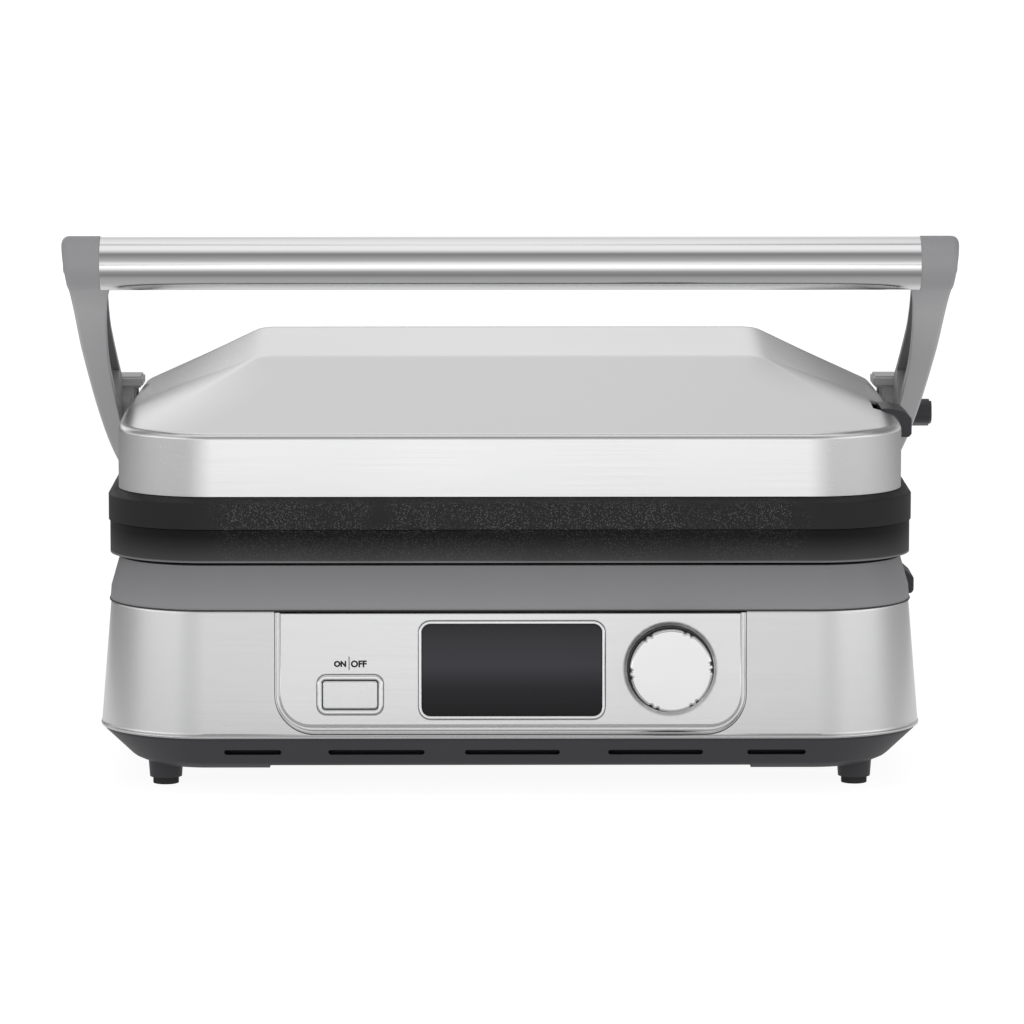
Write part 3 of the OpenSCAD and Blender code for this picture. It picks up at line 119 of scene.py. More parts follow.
class Wire:
    # One output of a shader node. Arithmetic on it adds Math nodes.
    def __init__(self, tree, socket=None):
        self.tree = tree
        self.socket = socket

    def node(self, kind, settings=None, inputs=None, output=0):
        made = self.tree.nodes.new(kind)
        for key, value in (settings or {}).items():
            if key == "stops":
                ramp = made.color_ramp
                while len(ramp.elements) < len(value):
                    ramp.elements.new(0.5)
                for stop, (place, shade) in zip(ramp.elements, value):
                    stop.position = place
                    stop.color = shade if len(shade) == 4 else (*shade, 1)
            else:
                setattr(made, key, value)
        for key, value in (inputs or {}).items():
            if isinstance(value, Wire):
                self.tree.links.new(value.socket, made.inputs[key])
            else:
                made.inputs[key].default_value = value
        return Wire(self.tree, made.outputs[output])

    def math(self, operation, *values):
        return self.node("ShaderNodeMath", {"operation": operation}, dict(enumerate(values)))

    def __add__(self, other):
        return self.math("ADD", self, other)

    def __sub__(self, other):
        return self.math("SUBTRACT", self, other)

    def __rsub__(self, other):
        return self.math("SUBTRACT", other, self)

    def __mul__(self, other):
        return self.math("MULTIPLY", self, other)

    def __truediv__(self, other):
        return self.math("DIVIDE", self, other)

    def clamped(self, low=0.0, high=1.0):
        return self.math("MAXIMUM", self.math("MINIMUM", self, high), low)


def grey(value):
    return (value, value, value, 1)


def newFinish(name, constants):
    # A material with one Principled shader, its fixed values set on the shader's own sockets
    material = bpy.data.materials.new(name)
    material.use_nodes = True
    shader = material.node_tree.nodes["Principled BSDF"]
    for key, value in constants.items():
        shader.inputs[key].default_value = value
    return material, Wire(material.node_tree), shader


def feed(wire, shader, key):
    wire.tree.links.new(wire.socket, shader.inputs[key])


def placeOf(wire, stretch=(1, 1, 1)):
    # Coordinates that ride with the piece, in metres, stretched along each axis
    where = wire.node("ShaderNodeTexCoord", None, None, "Object")
    return wire.node("ShaderNodeVectorMath", {"operation": "MULTIPLY"}, {0: where, 1: stretch})


def axesOf(place):
    # The X, Y and Z of a vector
    apart = place.node("ShaderNodeSeparateXYZ", None, {0: place})
    return [Wire(place.tree, output) for output in apart.socket.node.outputs]


def noise(wire, place, scale, detail=2.0, roughness=0.5):
    return wire.node("ShaderNodeTexNoise", None,
        {"Vector": place, "Scale": scale, "Detail": detail, "Roughness": roughness}, "Fac")


def mixColor(wire, factor, first, second, blend="MIX"):
    return wire.node("ShaderNodeMix", {"data_type": "RGBA", "blend_type": blend},
        {0: factor, 6: first, 7: second}, 2)


def eased(value, start, end, low=0.0, high=1.0):
    return value.node("ShaderNodeMapRange", {"interpolation_type": "SMOOTHSTEP"},
        {0: value, 1: start, 2: end, 3: low, 4: high})


def greyRamp(value, stops):
    # A shade by value, through (place, shade) stops
    return value.node("ShaderNodeValToRGB", {"stops": [(place, grey(shade)) for place, shade in stops]},
        {0: value})


def bump(wire, height, strength, distance):
    return wire.node("ShaderNodeBump", None, {"Height": height, "Strength": strength, "Distance": distance})


def addStage(values):
    world = bpy.data.worlds.new("studio")
    bpy.context.scene.world = world
    world.use_nodes = True
    tree = world.node_tree
    wire = Wire(tree)
    toward = wire.node("ShaderNodeTexCoord", None, None, "Generated")
    across, along, up = axesOf(toward)
    flat = wire.math("SQRT", across * across + along * along) + 0.0001
    ahead = along / flat
    front = eased(ahead, -0.8, -0.97)
    back = eased(ahead - across * values["backTurn"], 0.8, 0.97)
    right = eased(across, -0.2, 0.2, values["rearLeft"], values["rearRight"])
    behind = eased(ahead, -0.35, 0.3)
    side = greyRamp(up, values["side"]) * (1 - behind * (1 - right))
    rear = greyRamp(up, values["back"]) * back * eased(across, 0.03, 0.22, 1.0, values["backRight"])
    light = side * (1 - front) * (1 - back) + greyRamp(up, values["front"]) * front + rear
    seen = wire.node("ShaderNodeLightPath", None, None, "Is Camera Ray")
    background = tree.nodes["Background"]
    tree.links.new((light * (1 - seen) + seen).socket, background.inputs["Strength"])
    background.inputs["Color"].default_value = grey(1.0)

    half = values["floorSize"] / 2
    floor = bpy.data.meshes.new("floor")
    corners = [(-half, -half, 0), (half, -half, 0), (half, half, 0), (-half, half, 0)]
    floor.from_pydata(corners, [], [(0, 1, 2, 3)])
    floorPiece = bpy.data.objects.new("floor", floor)
    bpy.context.scene.collection.objects.link(floorPiece)
    material, wire, shader = newFinish("floor_paper",
        {"Roughness": 0.9, "Specular IOR Level": 0.0, "Emission Strength": 1.0})
    fibre = noise(wire, placeOf(wire), 400.0)
    shade = values["floorShade"]
    feed(mixColor(wire, fibre, grey(shade), grey(shade * 1.02)), shader, "Base Color")
    across, along = axesOf(placeOf(wire))[:2]
    start, end, stops = values["floorAhead"]
    ahead = greyRamp((along - start) / (end - start), stops)
    reach = across * across + along * along
    strip = eased(wire.math("ABSOLUTE", across), 0.48, 0.3) * eased(along, 0.0, -0.3)
    beside, behind = (eased(across, -0.2, 0.2, *values[key]) for key in ("floorBeside", "floorBehind"))
    around = eased(along, 0.1, 0.9, beside, behind)
    glow = ahead * strip + (1 - strip) * (eased(reach, 0.1, 0.36) * (around - values["floorUnder"])
        + values["floorUnder"])
    near, gain = values["floorGlow"]
    camera = wire.node("ShaderNodeLightPath", None, None, "Is Camera Ray")
    glossy = wire.node("ShaderNodeLightPath", None, None, "Is Glossy Ray")
    feed(mixColor(wire, camera, mixColor(wire, glossy, grey(values["floorBounce"]), glow),
        eased(reach, 0.6, 6.0, near, near + gain)), shader, "Emission Color")
    floor.materials.append(material)


lamps = {
    # name: place, aim, size, watts; they light matt surfaces, and the sky gives the reflections
    "overhead_box": ((0.0, -0.3, 1.6), (0, 0, 0.1), (1.6, 1.2), 8.0),
    "front_box": ((0.2, -2.4, 1.15), (0, 0, 0.1), (1.8, 0.8), 12.0),
    "left_box": ((-1.7, -0.9, 0.9), (0, 0, 0.1), (0.7, 1.2), 5.0),
    "right_box": ((1.8, -0.8, 0.9), (0, 0, 0.1), (0.7, 1.2), 4.0),
}


def addLamps(values):
    for name, (place, aim, size, watts) in values.items():
        data = bpy.data.lights.new(name, "AREA")
        data.shape = "RECTANGLE"
        data.size, data.size_y = size
        data.energy = watts
        lamp = bpy.data.objects.new(name, data)
        bpy.context.scene.collection.objects.link(lamp)
        lamp.location = place
        lamp.rotation_euler = (Vector(aim) - Vector(place)).to_track_quat("-Z", "Y").to_euler()
        lamp.visible_glossy = False


addStage(studio)
addLamps(lamps)
scene = bpy.context.scene
scene.view_settings.view_transform = "Standard"
print("camera, floor and light made")

# Finishes


def brushedSteel(name, shade, rough, streaks):
    # Sheet brushed along X: fine long streaks in shade, gloss and relief
    material, wire, shader = newFinish(name, {"Metallic": 1.0})
    hair = noise(wire, placeOf(wire, (6, 900, 900)), 2.2, 3.0, 0.6)
    band = noise(wire, placeOf(wire, (1.5, 160, 160)), 1.0, 2.0)
    cloud = noise(wire, placeOf(wire), 9.0, 2.0)
    tone = hair * 0.55 + band * 0.3 + cloud * 0.15
    bright = shade * (1 + streaks)
    feed(mixColor(wire, tone, grey(shade * (1 - streaks)), (bright, bright, bright * 1.006, 1)),
        shader, "Base Color")
    feed((hair * 0.1 + cloud * 0.06 + (rough - 0.08)).clamped(0.05, 0.7), shader, "Roughness")
    feed(bump(wire, hair, 0.12, 0.00004), shader, "Normal")
    return material


def mouldedPlastic(name, shade, rough, grain=0.25, sheen=0.5):
    # Fine spark-eroded texture with faint flow marks
    material, wire, shader = newFinish(name, {"Specular IOR Level": sheen})
    pits = noise(wire, placeOf(wire), 2600.0, 2.0)
    flow = noise(wire, placeOf(wire, (1, 1, 3)), 14.0, 3.0)
    low = tuple(0.93 * c for c in shade)
    high = tuple(1.07 * c for c in shade)
    feed(mixColor(wire, flow * 0.6 + pits * 0.4, (*low, 1), (*high, 1)), shader, "Base Color")
    feed((pits * 0.12 + flow * 0.08 + (rough - 0.1)).clamped(0.05, 1.0), shader, "Roughness")
    feed(bump(wire, pits, grain, 0.00006), shader, "Normal")
    return material


coating = {
    "flat": (0.119, 0.106),     # flecks fade in from one distance from the middle to the other, in metres
    # painted light up the lower plate's wall: a painted highlight at its lower edge, painted shadow darkening to
    # its top under the upper plate, and a plain shade over the rest; 0.5 is its top edge
    "wall": ((0, 0.13), (0.02, 0.12), (0.035, 0.036), (0.25, 0.014), (0.4, 0.003), (0.5, 0.002),
        (0.51, 0.013), (1, 0.013)),
    "fleck": (0.16, 0.16, 0.16, 1),
}


def castCoating(name, values, foot, top):
    # Dark non-stick coat over a cast surface. Light flecks show along the flat walls. The lower plate's wall,
    # between
    # foot and top, has painted light: a painted highlight along its lower edge and painted shadow up to its top.
    material, wire, shader = newFinish(name, {"Specular IOR Level": 0.2})
    place = placeOf(wire)
    across, up = axesOf(place)[::2]
    height = (up - foot) / (2 * (top - foot))
    cells = wire.node("ShaderNodeTexVoronoi", None, {"Vector": place, "Scale": 1600.0}, "Distance")
    patches = noise(wire, place, 55.0, 3.0)
    cloud = noise(wire, placeOf(wire, (1, 1, 2)), 22.0, 3.0)
    flat = eased(wire.math("ABSOLUTE", across), *values["flat"]) * eased(height, 0.44, 0.52, 0.4, 1.0)
    fleck = (1 - (cells - 0.08) / 0.3).clamped() * ((patches - 0.3) / 0.16).clamped() * flat
    # painted highlight at the lower plate's lower edge, painted shadow up to its top
    wall = greyRamp(height, values["wall"])
    base = mixColor(wire, 1.0, wall, mixColor(wire, cloud, grey(0.75), (1.3, 1.3, 1.36, 1)), "MULTIPLY")
    feed(mixColor(wire, fleck * 0.7, base, values["fleck"]), shader, "Base Color")
    feed((cloud * 0.25 + 0.36 + fleck * 0.1).clamped(), shader, "Roughness")
    grain = noise(wire, place, 1500.0, 2.0)
    feed(bump(wire, grain * 0.7 + cloud * 0.3 - fleck * 0.4, 0.5, 0.00012), shader, "Normal")
    return material


def paintedShadePlastic(name, low, high, foot, top):
    # Moulded plastic with painted shade: its colour darkens from its foot to its top, standing in for how light
    # falls
    material, wire, shader = newFinish(name, {"Specular IOR Level": 0.45})
    pits = noise(wire, placeOf(wire), 2600.0, 2.0)
    flow = noise(wire, placeOf(wire, (1, 1, 3)), 14.0, 3.0)
    # painted shade by height
    rise = (axesOf(placeOf(wire))[2] - foot) / (top - foot)
    tone = (rise + flow * 0.2 + pits * 0.1 - 0.15).clamped()
    feed(mixColor(wire, tone, (*low, 1), (*high, 1)), shader, "Base Color")
    feed(pits * 0.12 + flow * 0.08 + 0.32, shader, "Roughness")
    feed(bump(wire, pits, 0.2, 0.00006), shader, "Normal")
    return material


def plainMetal(name, shade, rough, metallic=1.0, scale=700.0):
    # Plated or sintered small parts: a faint mottle
    material, wire, shader = newFinish(name, {"Metallic": metallic})
    mottle = noise(wire, placeOf(wire), scale, 3.0)
    low = tuple(0.88 * c for c in shade)
    high = tuple(min(1.0, 1.1 * c) for c in shade)
    feed(mixColor(wire, mottle, (*low, 1), (*high, 1)), shader, "Base Color")
    feed((mottle * 0.16 + (rough - 0.08)).clamped(0.04, 1.0), shader, "Roughness")
    feed(bump(wire, mottle, 0.15, 0.00005), shader, "Normal")
    return material


def glassWithPaintedReflection(name, low, high):
    # Black printed glass with a painted reflection: its colour is lightest across its middle
    material, wire, shader = newFinish(name, {"IOR": 1.5, "Specular IOR Level": 0.22})
    dust = noise(wire, placeOf(wire), 300.0, 3.0)
    rise = (axesOf(placeOf(wire))[2] - low) / (high - low)
    # painted reflection: near black at the foot, lightest across the middle
    stops = [(0, (0.0005, 0.0004, 0.001)), (0.3, (0.008, 0.0075, 0.01)), (0.55, (0.03, 0.0285, 0.034)),
        (0.8, (0.024, 0.023, 0.027)), (1, (0.014, 0.013, 0.016))]
    shade = wire.node("ShaderNodeValToRGB", {"stops": stops}, {0: rise})
    feed(mixColor(wire, dust * 0.05, shade, (0.05, 0.05, 0.052, 1)), shader, "Base Color")
    feed(dust * 0.06 + 0.14, shader, "Roughness")
    feed(bump(wire, noise(wire, placeOf(wire), 25.0, 1.0), 0.02, 0.0002), shader, "Normal")
    return material


def spunMetal(name, centre, facing, shade=0.92, rough=0.22):
    # A turned face: rings round an axis through centre
    material, wire, shader = newFinish(name, {"Metallic": 1.0})
    where = wire.node("ShaderNodeTexCoord", None, None, "Object")
    offset = wire.node("ShaderNodeVectorMath", {"operation": "SUBTRACT"}, {0: where, 1: tuple(centre)})
    crossed = wire.node("ShaderNodeVectorMath", {"operation": "CROSS_PRODUCT"}, {0: offset, 1: tuple(facing)})
    radius = wire.node("ShaderNodeVectorMath", {"operation": "LENGTH"}, {0: crossed}, "Value")
    rings = wire.node("ShaderNodeTexNoise", {"noise_dimensions": "1D"},
        {"W": radius * 9000.0, "Scale": 1.0, "Detail": 2.0}, "Fac")
    smear = noise(wire, placeOf(wire), 60.0, 2.0)
    feed(mixColor(wire, rings * 0.6 + smear * 0.4, grey(shade * 0.94), grey(min(1.0, shade * 1.06))),
        shader, "Base Color")
    feed(rings * 0.08 + smear * 0.05 + (rough - 0.06), shader, "Roughness")
    feed(bump(wire, rings, 0.1, 0.00003), shader, "Normal")
    return material


finishes = {
    "brushed_steel": brushedSteel("brushed_steel", 0.88, 0.25, 0.025),
    # panel_steel and skirt_steel are darker copies of the lid's brushed steel: painted shade for how light falls
    # on each sheet
    "panel_steel": brushedSteel("panel_steel", 0.84, 0.24, 0.025),
    "skirt_steel": brushedSteel("skirt_steel", 0.75, 0.24, 0.03),
    "handle_steel": brushedSteel("handle_steel", 0.9, 0.13, 0.02),
    "grey_plastic": mouldedPlastic("grey_plastic", (0.205, 0.205, 0.212), 0.42, 0.2, 0.45),
    "black_plastic": mouldedPlastic("black_plastic", (0.026, 0.025, 0.029), 0.42, 0.3, 0.45),
    "liner_plastic": mouldedPlastic("liner_plastic", (0.035, 0.035, 0.036), 0.55, 0.3, 0.3),
    "rubber_pads": mouldedPlastic("rubber_pads", (0.018, 0.018, 0.018), 0.8, 0.6, 0.3),
    "bright_trim": plainMetal("bright_trim", (0.93, 0.93, 0.94), 0.22, 1.0, 1200.0),
    "display_module": mouldedPlastic("display_module", (0.2, 0.26, 0.24), 0.5),
    "circuit_board": mouldedPlastic("circuit_board", (0.03, 0.16, 0.07), 0.35),
    "steel_parts": plainMetal("steel_parts", (0.6, 0.6, 0.62), 0.32),
    "bronze_bush": plainMetal("bronze_bush", (0.55, 0.4, 0.22), 0.45),
    "reflector_sheet": plainMetal("reflector_sheet", (0.7, 0.71, 0.73), 0.3, 1.0, 120.0),
    "element_tube": plainMetal("element_tube", (0.12, 0.12, 0.13), 0.5, 0.8),
    "terminal_plastic": mouldedPlastic("terminal_plastic", (0.66, 0.66, 0.6), 0.5),
    "button_steel": plainMetal("button_steel", (0.86, 0.86, 0.86), 0.24, 1.0, 1500.0),
    "ring_black": mouldedPlastic("ring_black", (0.009, 0.009, 0.01), 0.4, 0.2, 0.35),
    "label_ink": mouldedPlastic("label_ink", (0.012, 0.012, 0.012), 0.6, 0.1, 0.2),
}
glassLow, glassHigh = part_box("display_window")
plateLow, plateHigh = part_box("lower_plate")
finishes["coated_plate"] = castCoating("coated_plate", coating, plateLow.z, plateHigh.z)
finishes["display_glass"] = glassWithPaintedReflection("display_glass", glassLow.z, glassHigh.z)

shading = {
    # painted shade: colours at the foot and at the top, and both heights in metres, the arms' from the tube's
    # lower edge
    "deck": ((0.195, 0.195, 0.202), (0.135, 0.135, 0.14)), "deckFoot": 0.072,
    "arms": ((0.31, 0.31, 0.317), (0.222, 0.222, 0.23)), "armsRise": (-0.012, 0.004),
}
deckTop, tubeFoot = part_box("deck")[1].z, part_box("handle_tube")[0].z
# painted shade on the deck, darker towards its top under the plates
finishes["deck_plastic"] = paintedShadePlastic("deck_plastic", *shading["deck"], shading["deckFoot"], deckTop)
# painted light on the arms, lighter below the caps to make up for the shade on their undersides
finishes["arm_plastic"] = paintedShadePlastic("arm_plastic", *shading["arms"],
    *(tubeFoot + rise for rise in shading["armsRise"]))

slotOf = {row["node"]: row["material_slot"] for row in frame["record"]["subparts"]}
for name, node in nodes.items():
    node.data.materials.clear()
    node.data.materials.append(finishes["deck_plastic" if name == "deck" else slotOf[name]])
knobLow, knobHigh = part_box("selector_knob")
finishes["knob_face"] = spunMetal("knob_face", (knobLow + knobHigh) / 2, (0, -0.9965, 0.083))
print("finishes made:", len(finishes))

# Mesh helpers, in millimetres


sharpEdge = 34          # degrees; steeper edges stay sharp


def quarter(steps):
    return [math.pi / 2 * k / steps for k in range(steps + 1)]


def roundedLoop(x0, x1, y0, y1, r, steps=10, split=(1, 1)):
    # A rectangle with round corners, anticlockwise from the front right corner
    corners = [(x1 - r, y0 + r, -90), (x1 - r, y1 - r, 0), (x0 + r, y1 - r, 90), (x0 + r, y0 + r, 180)]
    loop = []
    for k, (cx, cy, start) in enumerate(corners):
        for turn in quarter(steps):
            a = math.radians(start) + turn
            loop.append((cx + r * math.cos(a), cy + r * math.sin(a)))
        nextX, nextY, nextStart = corners[(k + 1) % 4]
        a = math.radians(nextStart)
        ahead = (nextX + r * math.cos(a), nextY + r * math.sin(a))
        here = loop[-1]
        count = split[(k + 1) % 2]
        for part in range(1, count):
            f = part / count
            loop.append((here[0] + (ahead[0] - here[0]) * f, here[1] + (ahead[1] - here[1]) * f))
    return loop


def tile(w, h, r):
    return lambda inset: roundedLoop(inset - w / 2, w / 2 - inset, inset - h / 2, h / 2 - inset,
        max(r - inset, 0.05), 8)


def disc(r, steps):
    return lambda inset: [((r - inset) * math.cos(math.tau * k / steps),
        (r - inset) * math.sin(math.tau * k / steps)) for k in range(steps)]


def shifted(outline, x, y):
    return lambda inset: [(px + x, py + y) for px, py in outline(inset)]


def skin(bm, rings):
    # Smooth quads between neighbouring rings
    loops = [[bm.verts.new(point) for point in ring] for ring in rings]
    for low, high in zip(loops, loops[1:]):
        for k in range(len(low)):
            ahead = (k + 1) % len(low)
            bm.faces.new((low[k], low[ahead], high[ahead], high[k])).smooth = True
    return loops


def cap(bm, loops):
    # A flat face over one loop, or over an outer loop with holes
    if len(loops) == 1:
        bm.faces.new(loops[0])
        return
    edges = [bm.edges.get((loop[k - 1], loop[k])) for loop in loops for k in range(len(loop))]
    bmesh.ops.triangle_fill(bm, use_beauty=True, edges=edges)


def roundedRise(z0, z1, edge, side=1, steps=3):
    # Steps of (inset, height) up a wall whose top edge is rounded
    return [(0, z0)] + [(side * edge * (1 - math.cos(a)), z1 - edge * (1 - math.sin(a)))
        for a in quarter(steps)]


def slab(bm, outer, z0, z1, holes=(), edge=0.3):
    # A flat piece with rounded upper edges; an outline may come with its own steps
    feet, tops = [], []
    walls = [outer if isinstance(outer, tuple) else (outer, roundedRise(z0, z1, edge))]
    for hole in holes:
        walls.append(hole if isinstance(hole, tuple) else (hole, roundedRise(z0, z1, edge, -1)))
    for outline, levels in walls:
        loops = skin(bm, [[(x, y, z) for x, y in outline(inset)] for inset, z in levels])
        feet.append(loops[0])
        tops.append(loops[-1])
    cap(bm, feet)
    cap(bm, tops)


def lathe(bm, profile, steps=64):
    # Turns (radius, height) steps round Z; a radius of 0 closes an end
    loops = skin(bm, [[(r * math.cos(math.tau * k / steps), r * math.sin(math.tau * k / steps), h)
        for k in range(steps)] for r, h in profile])
    for (r, h), loop in ((profile[0], loops[0]), (profile[-1], loops[-1])):
        if r > 0:
            cap(bm, [loop])


def put(bm, matrix):
    bmesh.ops.transform(bm, matrix=matrix, verts=bm.verts)


def alongX(y, z):
    # Turns Z into X and moves to an axis at y and z
    return Matrix.Translation((0, y, z)) @ Matrix.Rotation(math.pi / 2, 4, "Y")


def boxShape(low, high):
    bm = bmesh.new()
    bmesh.ops.create_cube(bm, size=1)
    low, high = Vector(low), Vector(high)
    put(bm, Matrix.Translation((low + high) / 2) @ Matrix.Diagonal((*(high - low), 1)))
    return bm


def joined(shapes):
    whole = bmesh.new()
    for shape in shapes:
        mesh = bpy.data.meshes.new("part")
        shape.to_mesh(mesh)
        shape.free()
        whole.from_mesh(mesh)
        bpy.data.meshes.remove(mesh)
    return whole


def carved(shape, cutters):
    # The shape with the cutters taken away
    def stand(bm, name):
        bmesh.ops.remove_doubles(bm, verts=bm.verts, dist=0.0005)
        bmesh.ops.recalc_face_normals(bm, faces=bm.faces)
        mesh = bpy.data.meshes.new(name)
        bm.to_mesh(mesh)
        bm.free()
        made = bpy.data.objects.new(name, mesh)
        bpy.context.scene.collection.objects.link(made)
        return made

    base = stand(shape, "base_shape")
    tools = [stand(cutter, "cutter") for cutter in cutters]
    for tool in tools:
        cut = base.modifiers.new("cut", "BOOLEAN")
        cut.operation = "DIFFERENCE"
        cut.solver = "EXACT"
        cut.object = tool
    result = bmesh.new()
    result.from_object(base, bpy.context.evaluated_depsgraph_get())
    for made in [base] + tools:
        mesh = made.data
        bpy.data.objects.remove(made)
        bpy.data.meshes.remove(mesh)
    return result


def piece(name, bm, body, finish, replaces=(), sharp=sharpEdge, weld=True):
    # Turns a shape in millimetres into a piece of the scene that rides on a body
    if weld:
        bmesh.ops.remove_doubles(bm, verts=bm.verts, dist=0.0005)
    bmesh.ops.recalc_face_normals(bm, faces=bm.faces)
    for edge in bm.edges:
        edge.smooth = len(edge.link_faces) == 2 and edge.calc_face_angle(0) < math.radians(sharp)
    put(bm, Matrix.Scale(mm, 4))
    mesh = bpy.data.meshes.new(name)
    bm.to_mesh(mesh)
    bm.free()
    mesh.materials.append(finishes[finish])
    made = bpy.data.objects.new(name, mesh)
    bpy.context.scene.collection.objects.link(made)
    weighted = made.modifiers.new("weighted", "WEIGHTED_NORMAL")
    weighted.keep_sharp = True
    weighted.weight = 90
    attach(made, body)
    if replaces:
        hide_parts(*replaces)


def nodeBox(name):
    # A CAD node's box in millimetres
    low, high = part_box(name)
    return low / mm, high / mm


# Softened CAD nodes


def makeSofter():
    # Smooth shading on round walls, sharp at real edges
    group = bpy.data.node_groups.new("soft_shading", "GeometryNodeTree")
    group.interface.new_socket("Geometry", in_out="INPUT", socket_type="NodeSocketGeometry")
    group.interface.new_socket("Geometry", in_out="OUTPUT", socket_type="NodeSocketGeometry")
    entry = group.nodes.new("NodeGroupInput")
    leave = group.nodes.new("NodeGroupOutput")
    faces = group.nodes.new("GeometryNodeSetShadeSmooth")
    edges = group.nodes.new("GeometryNodeSetShadeSmooth")
    edges.domain = "EDGE"
    angle = group.nodes.new("GeometryNodeInputMeshEdgeAngle")
    over = group.nodes.new("FunctionNodeCompare")
    over.inputs[1].default_value = math.radians(sharpEdge)
    edges.inputs["Shade Smooth"].default_value = False
    group.links.new(entry.outputs[0], faces.inputs["Geometry"])
    group.links.new(faces.outputs[0], edges.inputs["Geometry"])
    group.links.new(angle.outputs[0], over.inputs[0])
    group.links.new(over.outputs[0], edges.inputs["Selection"])
    group.links.new(edges.outputs[0], leave.inputs[0])
    return group


def soften(node, group, width):
    weld = node.modifiers.new("weld", "WELD")
    weld.merge_threshold = 0.00001
    flat = node.modifiers.new("flat", "DECIMATE")
    flat.decimate_type = "DISSOLVE"
    flat.angle_limit = math.radians(0.6)
    if width:
        bevel = node.modifiers.new("bevel", "BEVEL")
        bevel.width = width * mm
        bevel.segments = 2
        bevel.limit_method = "ANGLE"
        bevel.angle_limit = math.radians(38)
    shade = node.modifiers.new("shade", "NODES")
    shade.node_group = group
    weighted = node.modifiers.new("weighted", "WEIGHTED_NORMAL")
    weighted.keep_sharp = True
    weighted.weight = 80


softWidth = {
    # width of the softened edges, in mm, where it isn't 0.2
    "deck": 0.7, "base_pan": 0.6, "steel_skirt": 0.25, "control_panel": 0.25, "lower_plate": 0.6,
    "upper_plate": 0.7, "lower_release_button": 0.7, "upper_release_button": 0.7, "drip_tray": 0.5,
    "hinge_lever": 0.5, "hinge_post_left": 0.8, "hinge_post_right": 0.8, "cord_gland": 0.5, "panel_carrier": 0.3,
    "lid_frame": 0.3, "drip_chute": 0.3, "terminal_block": 0.4, "pivot_bracket_left": 0.4,
    "pivot_bracket_right": 0.4,
}
softer = makeSofter()
for name, node in nodes.items():
    soften(node, softer, softWidth.get(name, 0.2))
print("CAD nodes softened")

# Lid

lid = {
    "cornerRadius": 36,
    "sheet": 1.2,
    "edgeRadius": 2.2,
    "edgeSteps": 6,
    "bandFront": 24,        # heights above the lid's lower edge
    "bandSide": 25.6,
    "bandFall": (-80, 100, 3.4),    # the side's edge falls from one y to another by this much
    "creaseFront": (-47, 44.4),
    "creaseRear": (22, 50),
    "topHalfWidth": 102,
    "hipHeight": 44.2,      # at the front crease; it rises with the top
    "innerFall": 0.36,      # slope of the narrow facet beside the top
    "creaseSoft": 0.35,
    "hipSoft": (13, 2.2),   # how softly the faces meet, at the band and at the top
    "ringStep": 2.2,
    "split": (100, 80),
    "pinHole": 9.2,         # across
    "buttonDepth": 9.7,     # how far the release button's opening reaches in, and its room round the button
    "buttonRoom": 0.3,
}


def softLower(a, b, soft):
    return min(a, b) - max(soft - abs(a - b), 0) ** 2 / (4 * soft)


def lidRise(values, half, front, rear, x, y):
    # Height of the lid's top above its lower edge
    (frontY, frontH), (rearY, rearH) = values["creaseFront"], values["creaseRear"]
    slope = frontH + (y - frontY) * (frontH - values["bandFront"]) / (frontY - front)
    top = frontH + (y - frontY) * (rearH - frontH) / (rearY - frontY)
    fallFrom, fallTo, fall = values["bandFall"]
    band = values["bandSide"] - fall * min(max((y - fallFrom) / (fallTo - fallFrom), 0), 1)
    back = rearH + (y - rearY) * (band - rearH) / (rear - rearY)
    along = softLower(softLower(slope, top, values["creaseSoft"]), back, 1.5)
    topHalf = values["topHalfWidth"]
    hip = values["hipHeight"] + (rearH - frontH) * min(max((y - frontY) / (rearY - frontY), 0), 1)
    outer = band + (half - abs(x)) * (hip - band) / (half - topHalf)
    inner = hip + (topHalf - abs(x)) * values["innerFall"]
    side = softLower(outer, inner, 0.6)
    wide, tight = values["hipSoft"]
    f = min(max((min(along, side) - band) / (hip - band), 0), 1)
    return softLower(along, side, wide + (tight - wide) * f ** 3)


def buildLid(values):
    low, high = nodeBox("lid_shell")
    half, front, rear, foot = high.x, low.y, high.y, low.z
    edge = values["edgeRadius"]
    insets = [(edge * (1 - math.cos(a)), edge * (1 - math.sin(a))) for a in quarter(values["edgeSteps"])]
    deepest = (rear - front) / 2 - 1.2
    inset = edge + 1
    while inset < deepest:
        insets.append((inset, 0))
        inset += values["ringStep"]
    bm = bmesh.new()
    rings = []
    for inset, drop in insets:
        loop = roundedLoop(inset - half, half - inset, front + inset, rear - inset,
            max(values["cornerRadius"] - inset, 1.1), 12, values["split"])
        rings.append([(x, y, foot + lidRise(values, half, front, rear, x, y) - drop) for x, y in loop])
    rings.insert(0, [(x, y, foot) for x, y, z in rings[0]])
    loops = skin(bm, rings)
    bm.faces.new(loops[-1]).smooth = True
    bmesh.ops.recalc_face_normals(bm, faces=bm.faces)
    bmesh.ops.solidify(bm, geom=bm.faces[:], thickness=values["sheet"])

    pinLow, pinHigh = nodeBox("pivot_pin_right")
    pinY, pinZ = (pinLow.y + pinHigh.y) / 2, (pinLow.z + pinHigh.z) / 2
    cutters = []
    for side in (-1, 1):
        hole = bmesh.new()
        lathe(hole, [(values["pinHole"] / 2, z) for z in (-12, 12)], 40)
        put(hole, Matrix.Translation((side * half, 0, 0)) @ alongX(pinY, pinZ))
        cutters.append(hole)
    buttonLow, buttonHigh = nodeBox("upper_release_button")
    room = values["buttonRoom"]
    cutters.append(boxShape((half - values["buttonDepth"], buttonLow.y - room, buttonLow.z - room),
        (half + 10, buttonHigh.y + room, buttonHigh.z + 3)))
    piece("lid_sheet", carved(bm, cutters), "lid", "brushed_steel", ["lid_shell"])


buildLid(lid)
print("lid built")

# Base

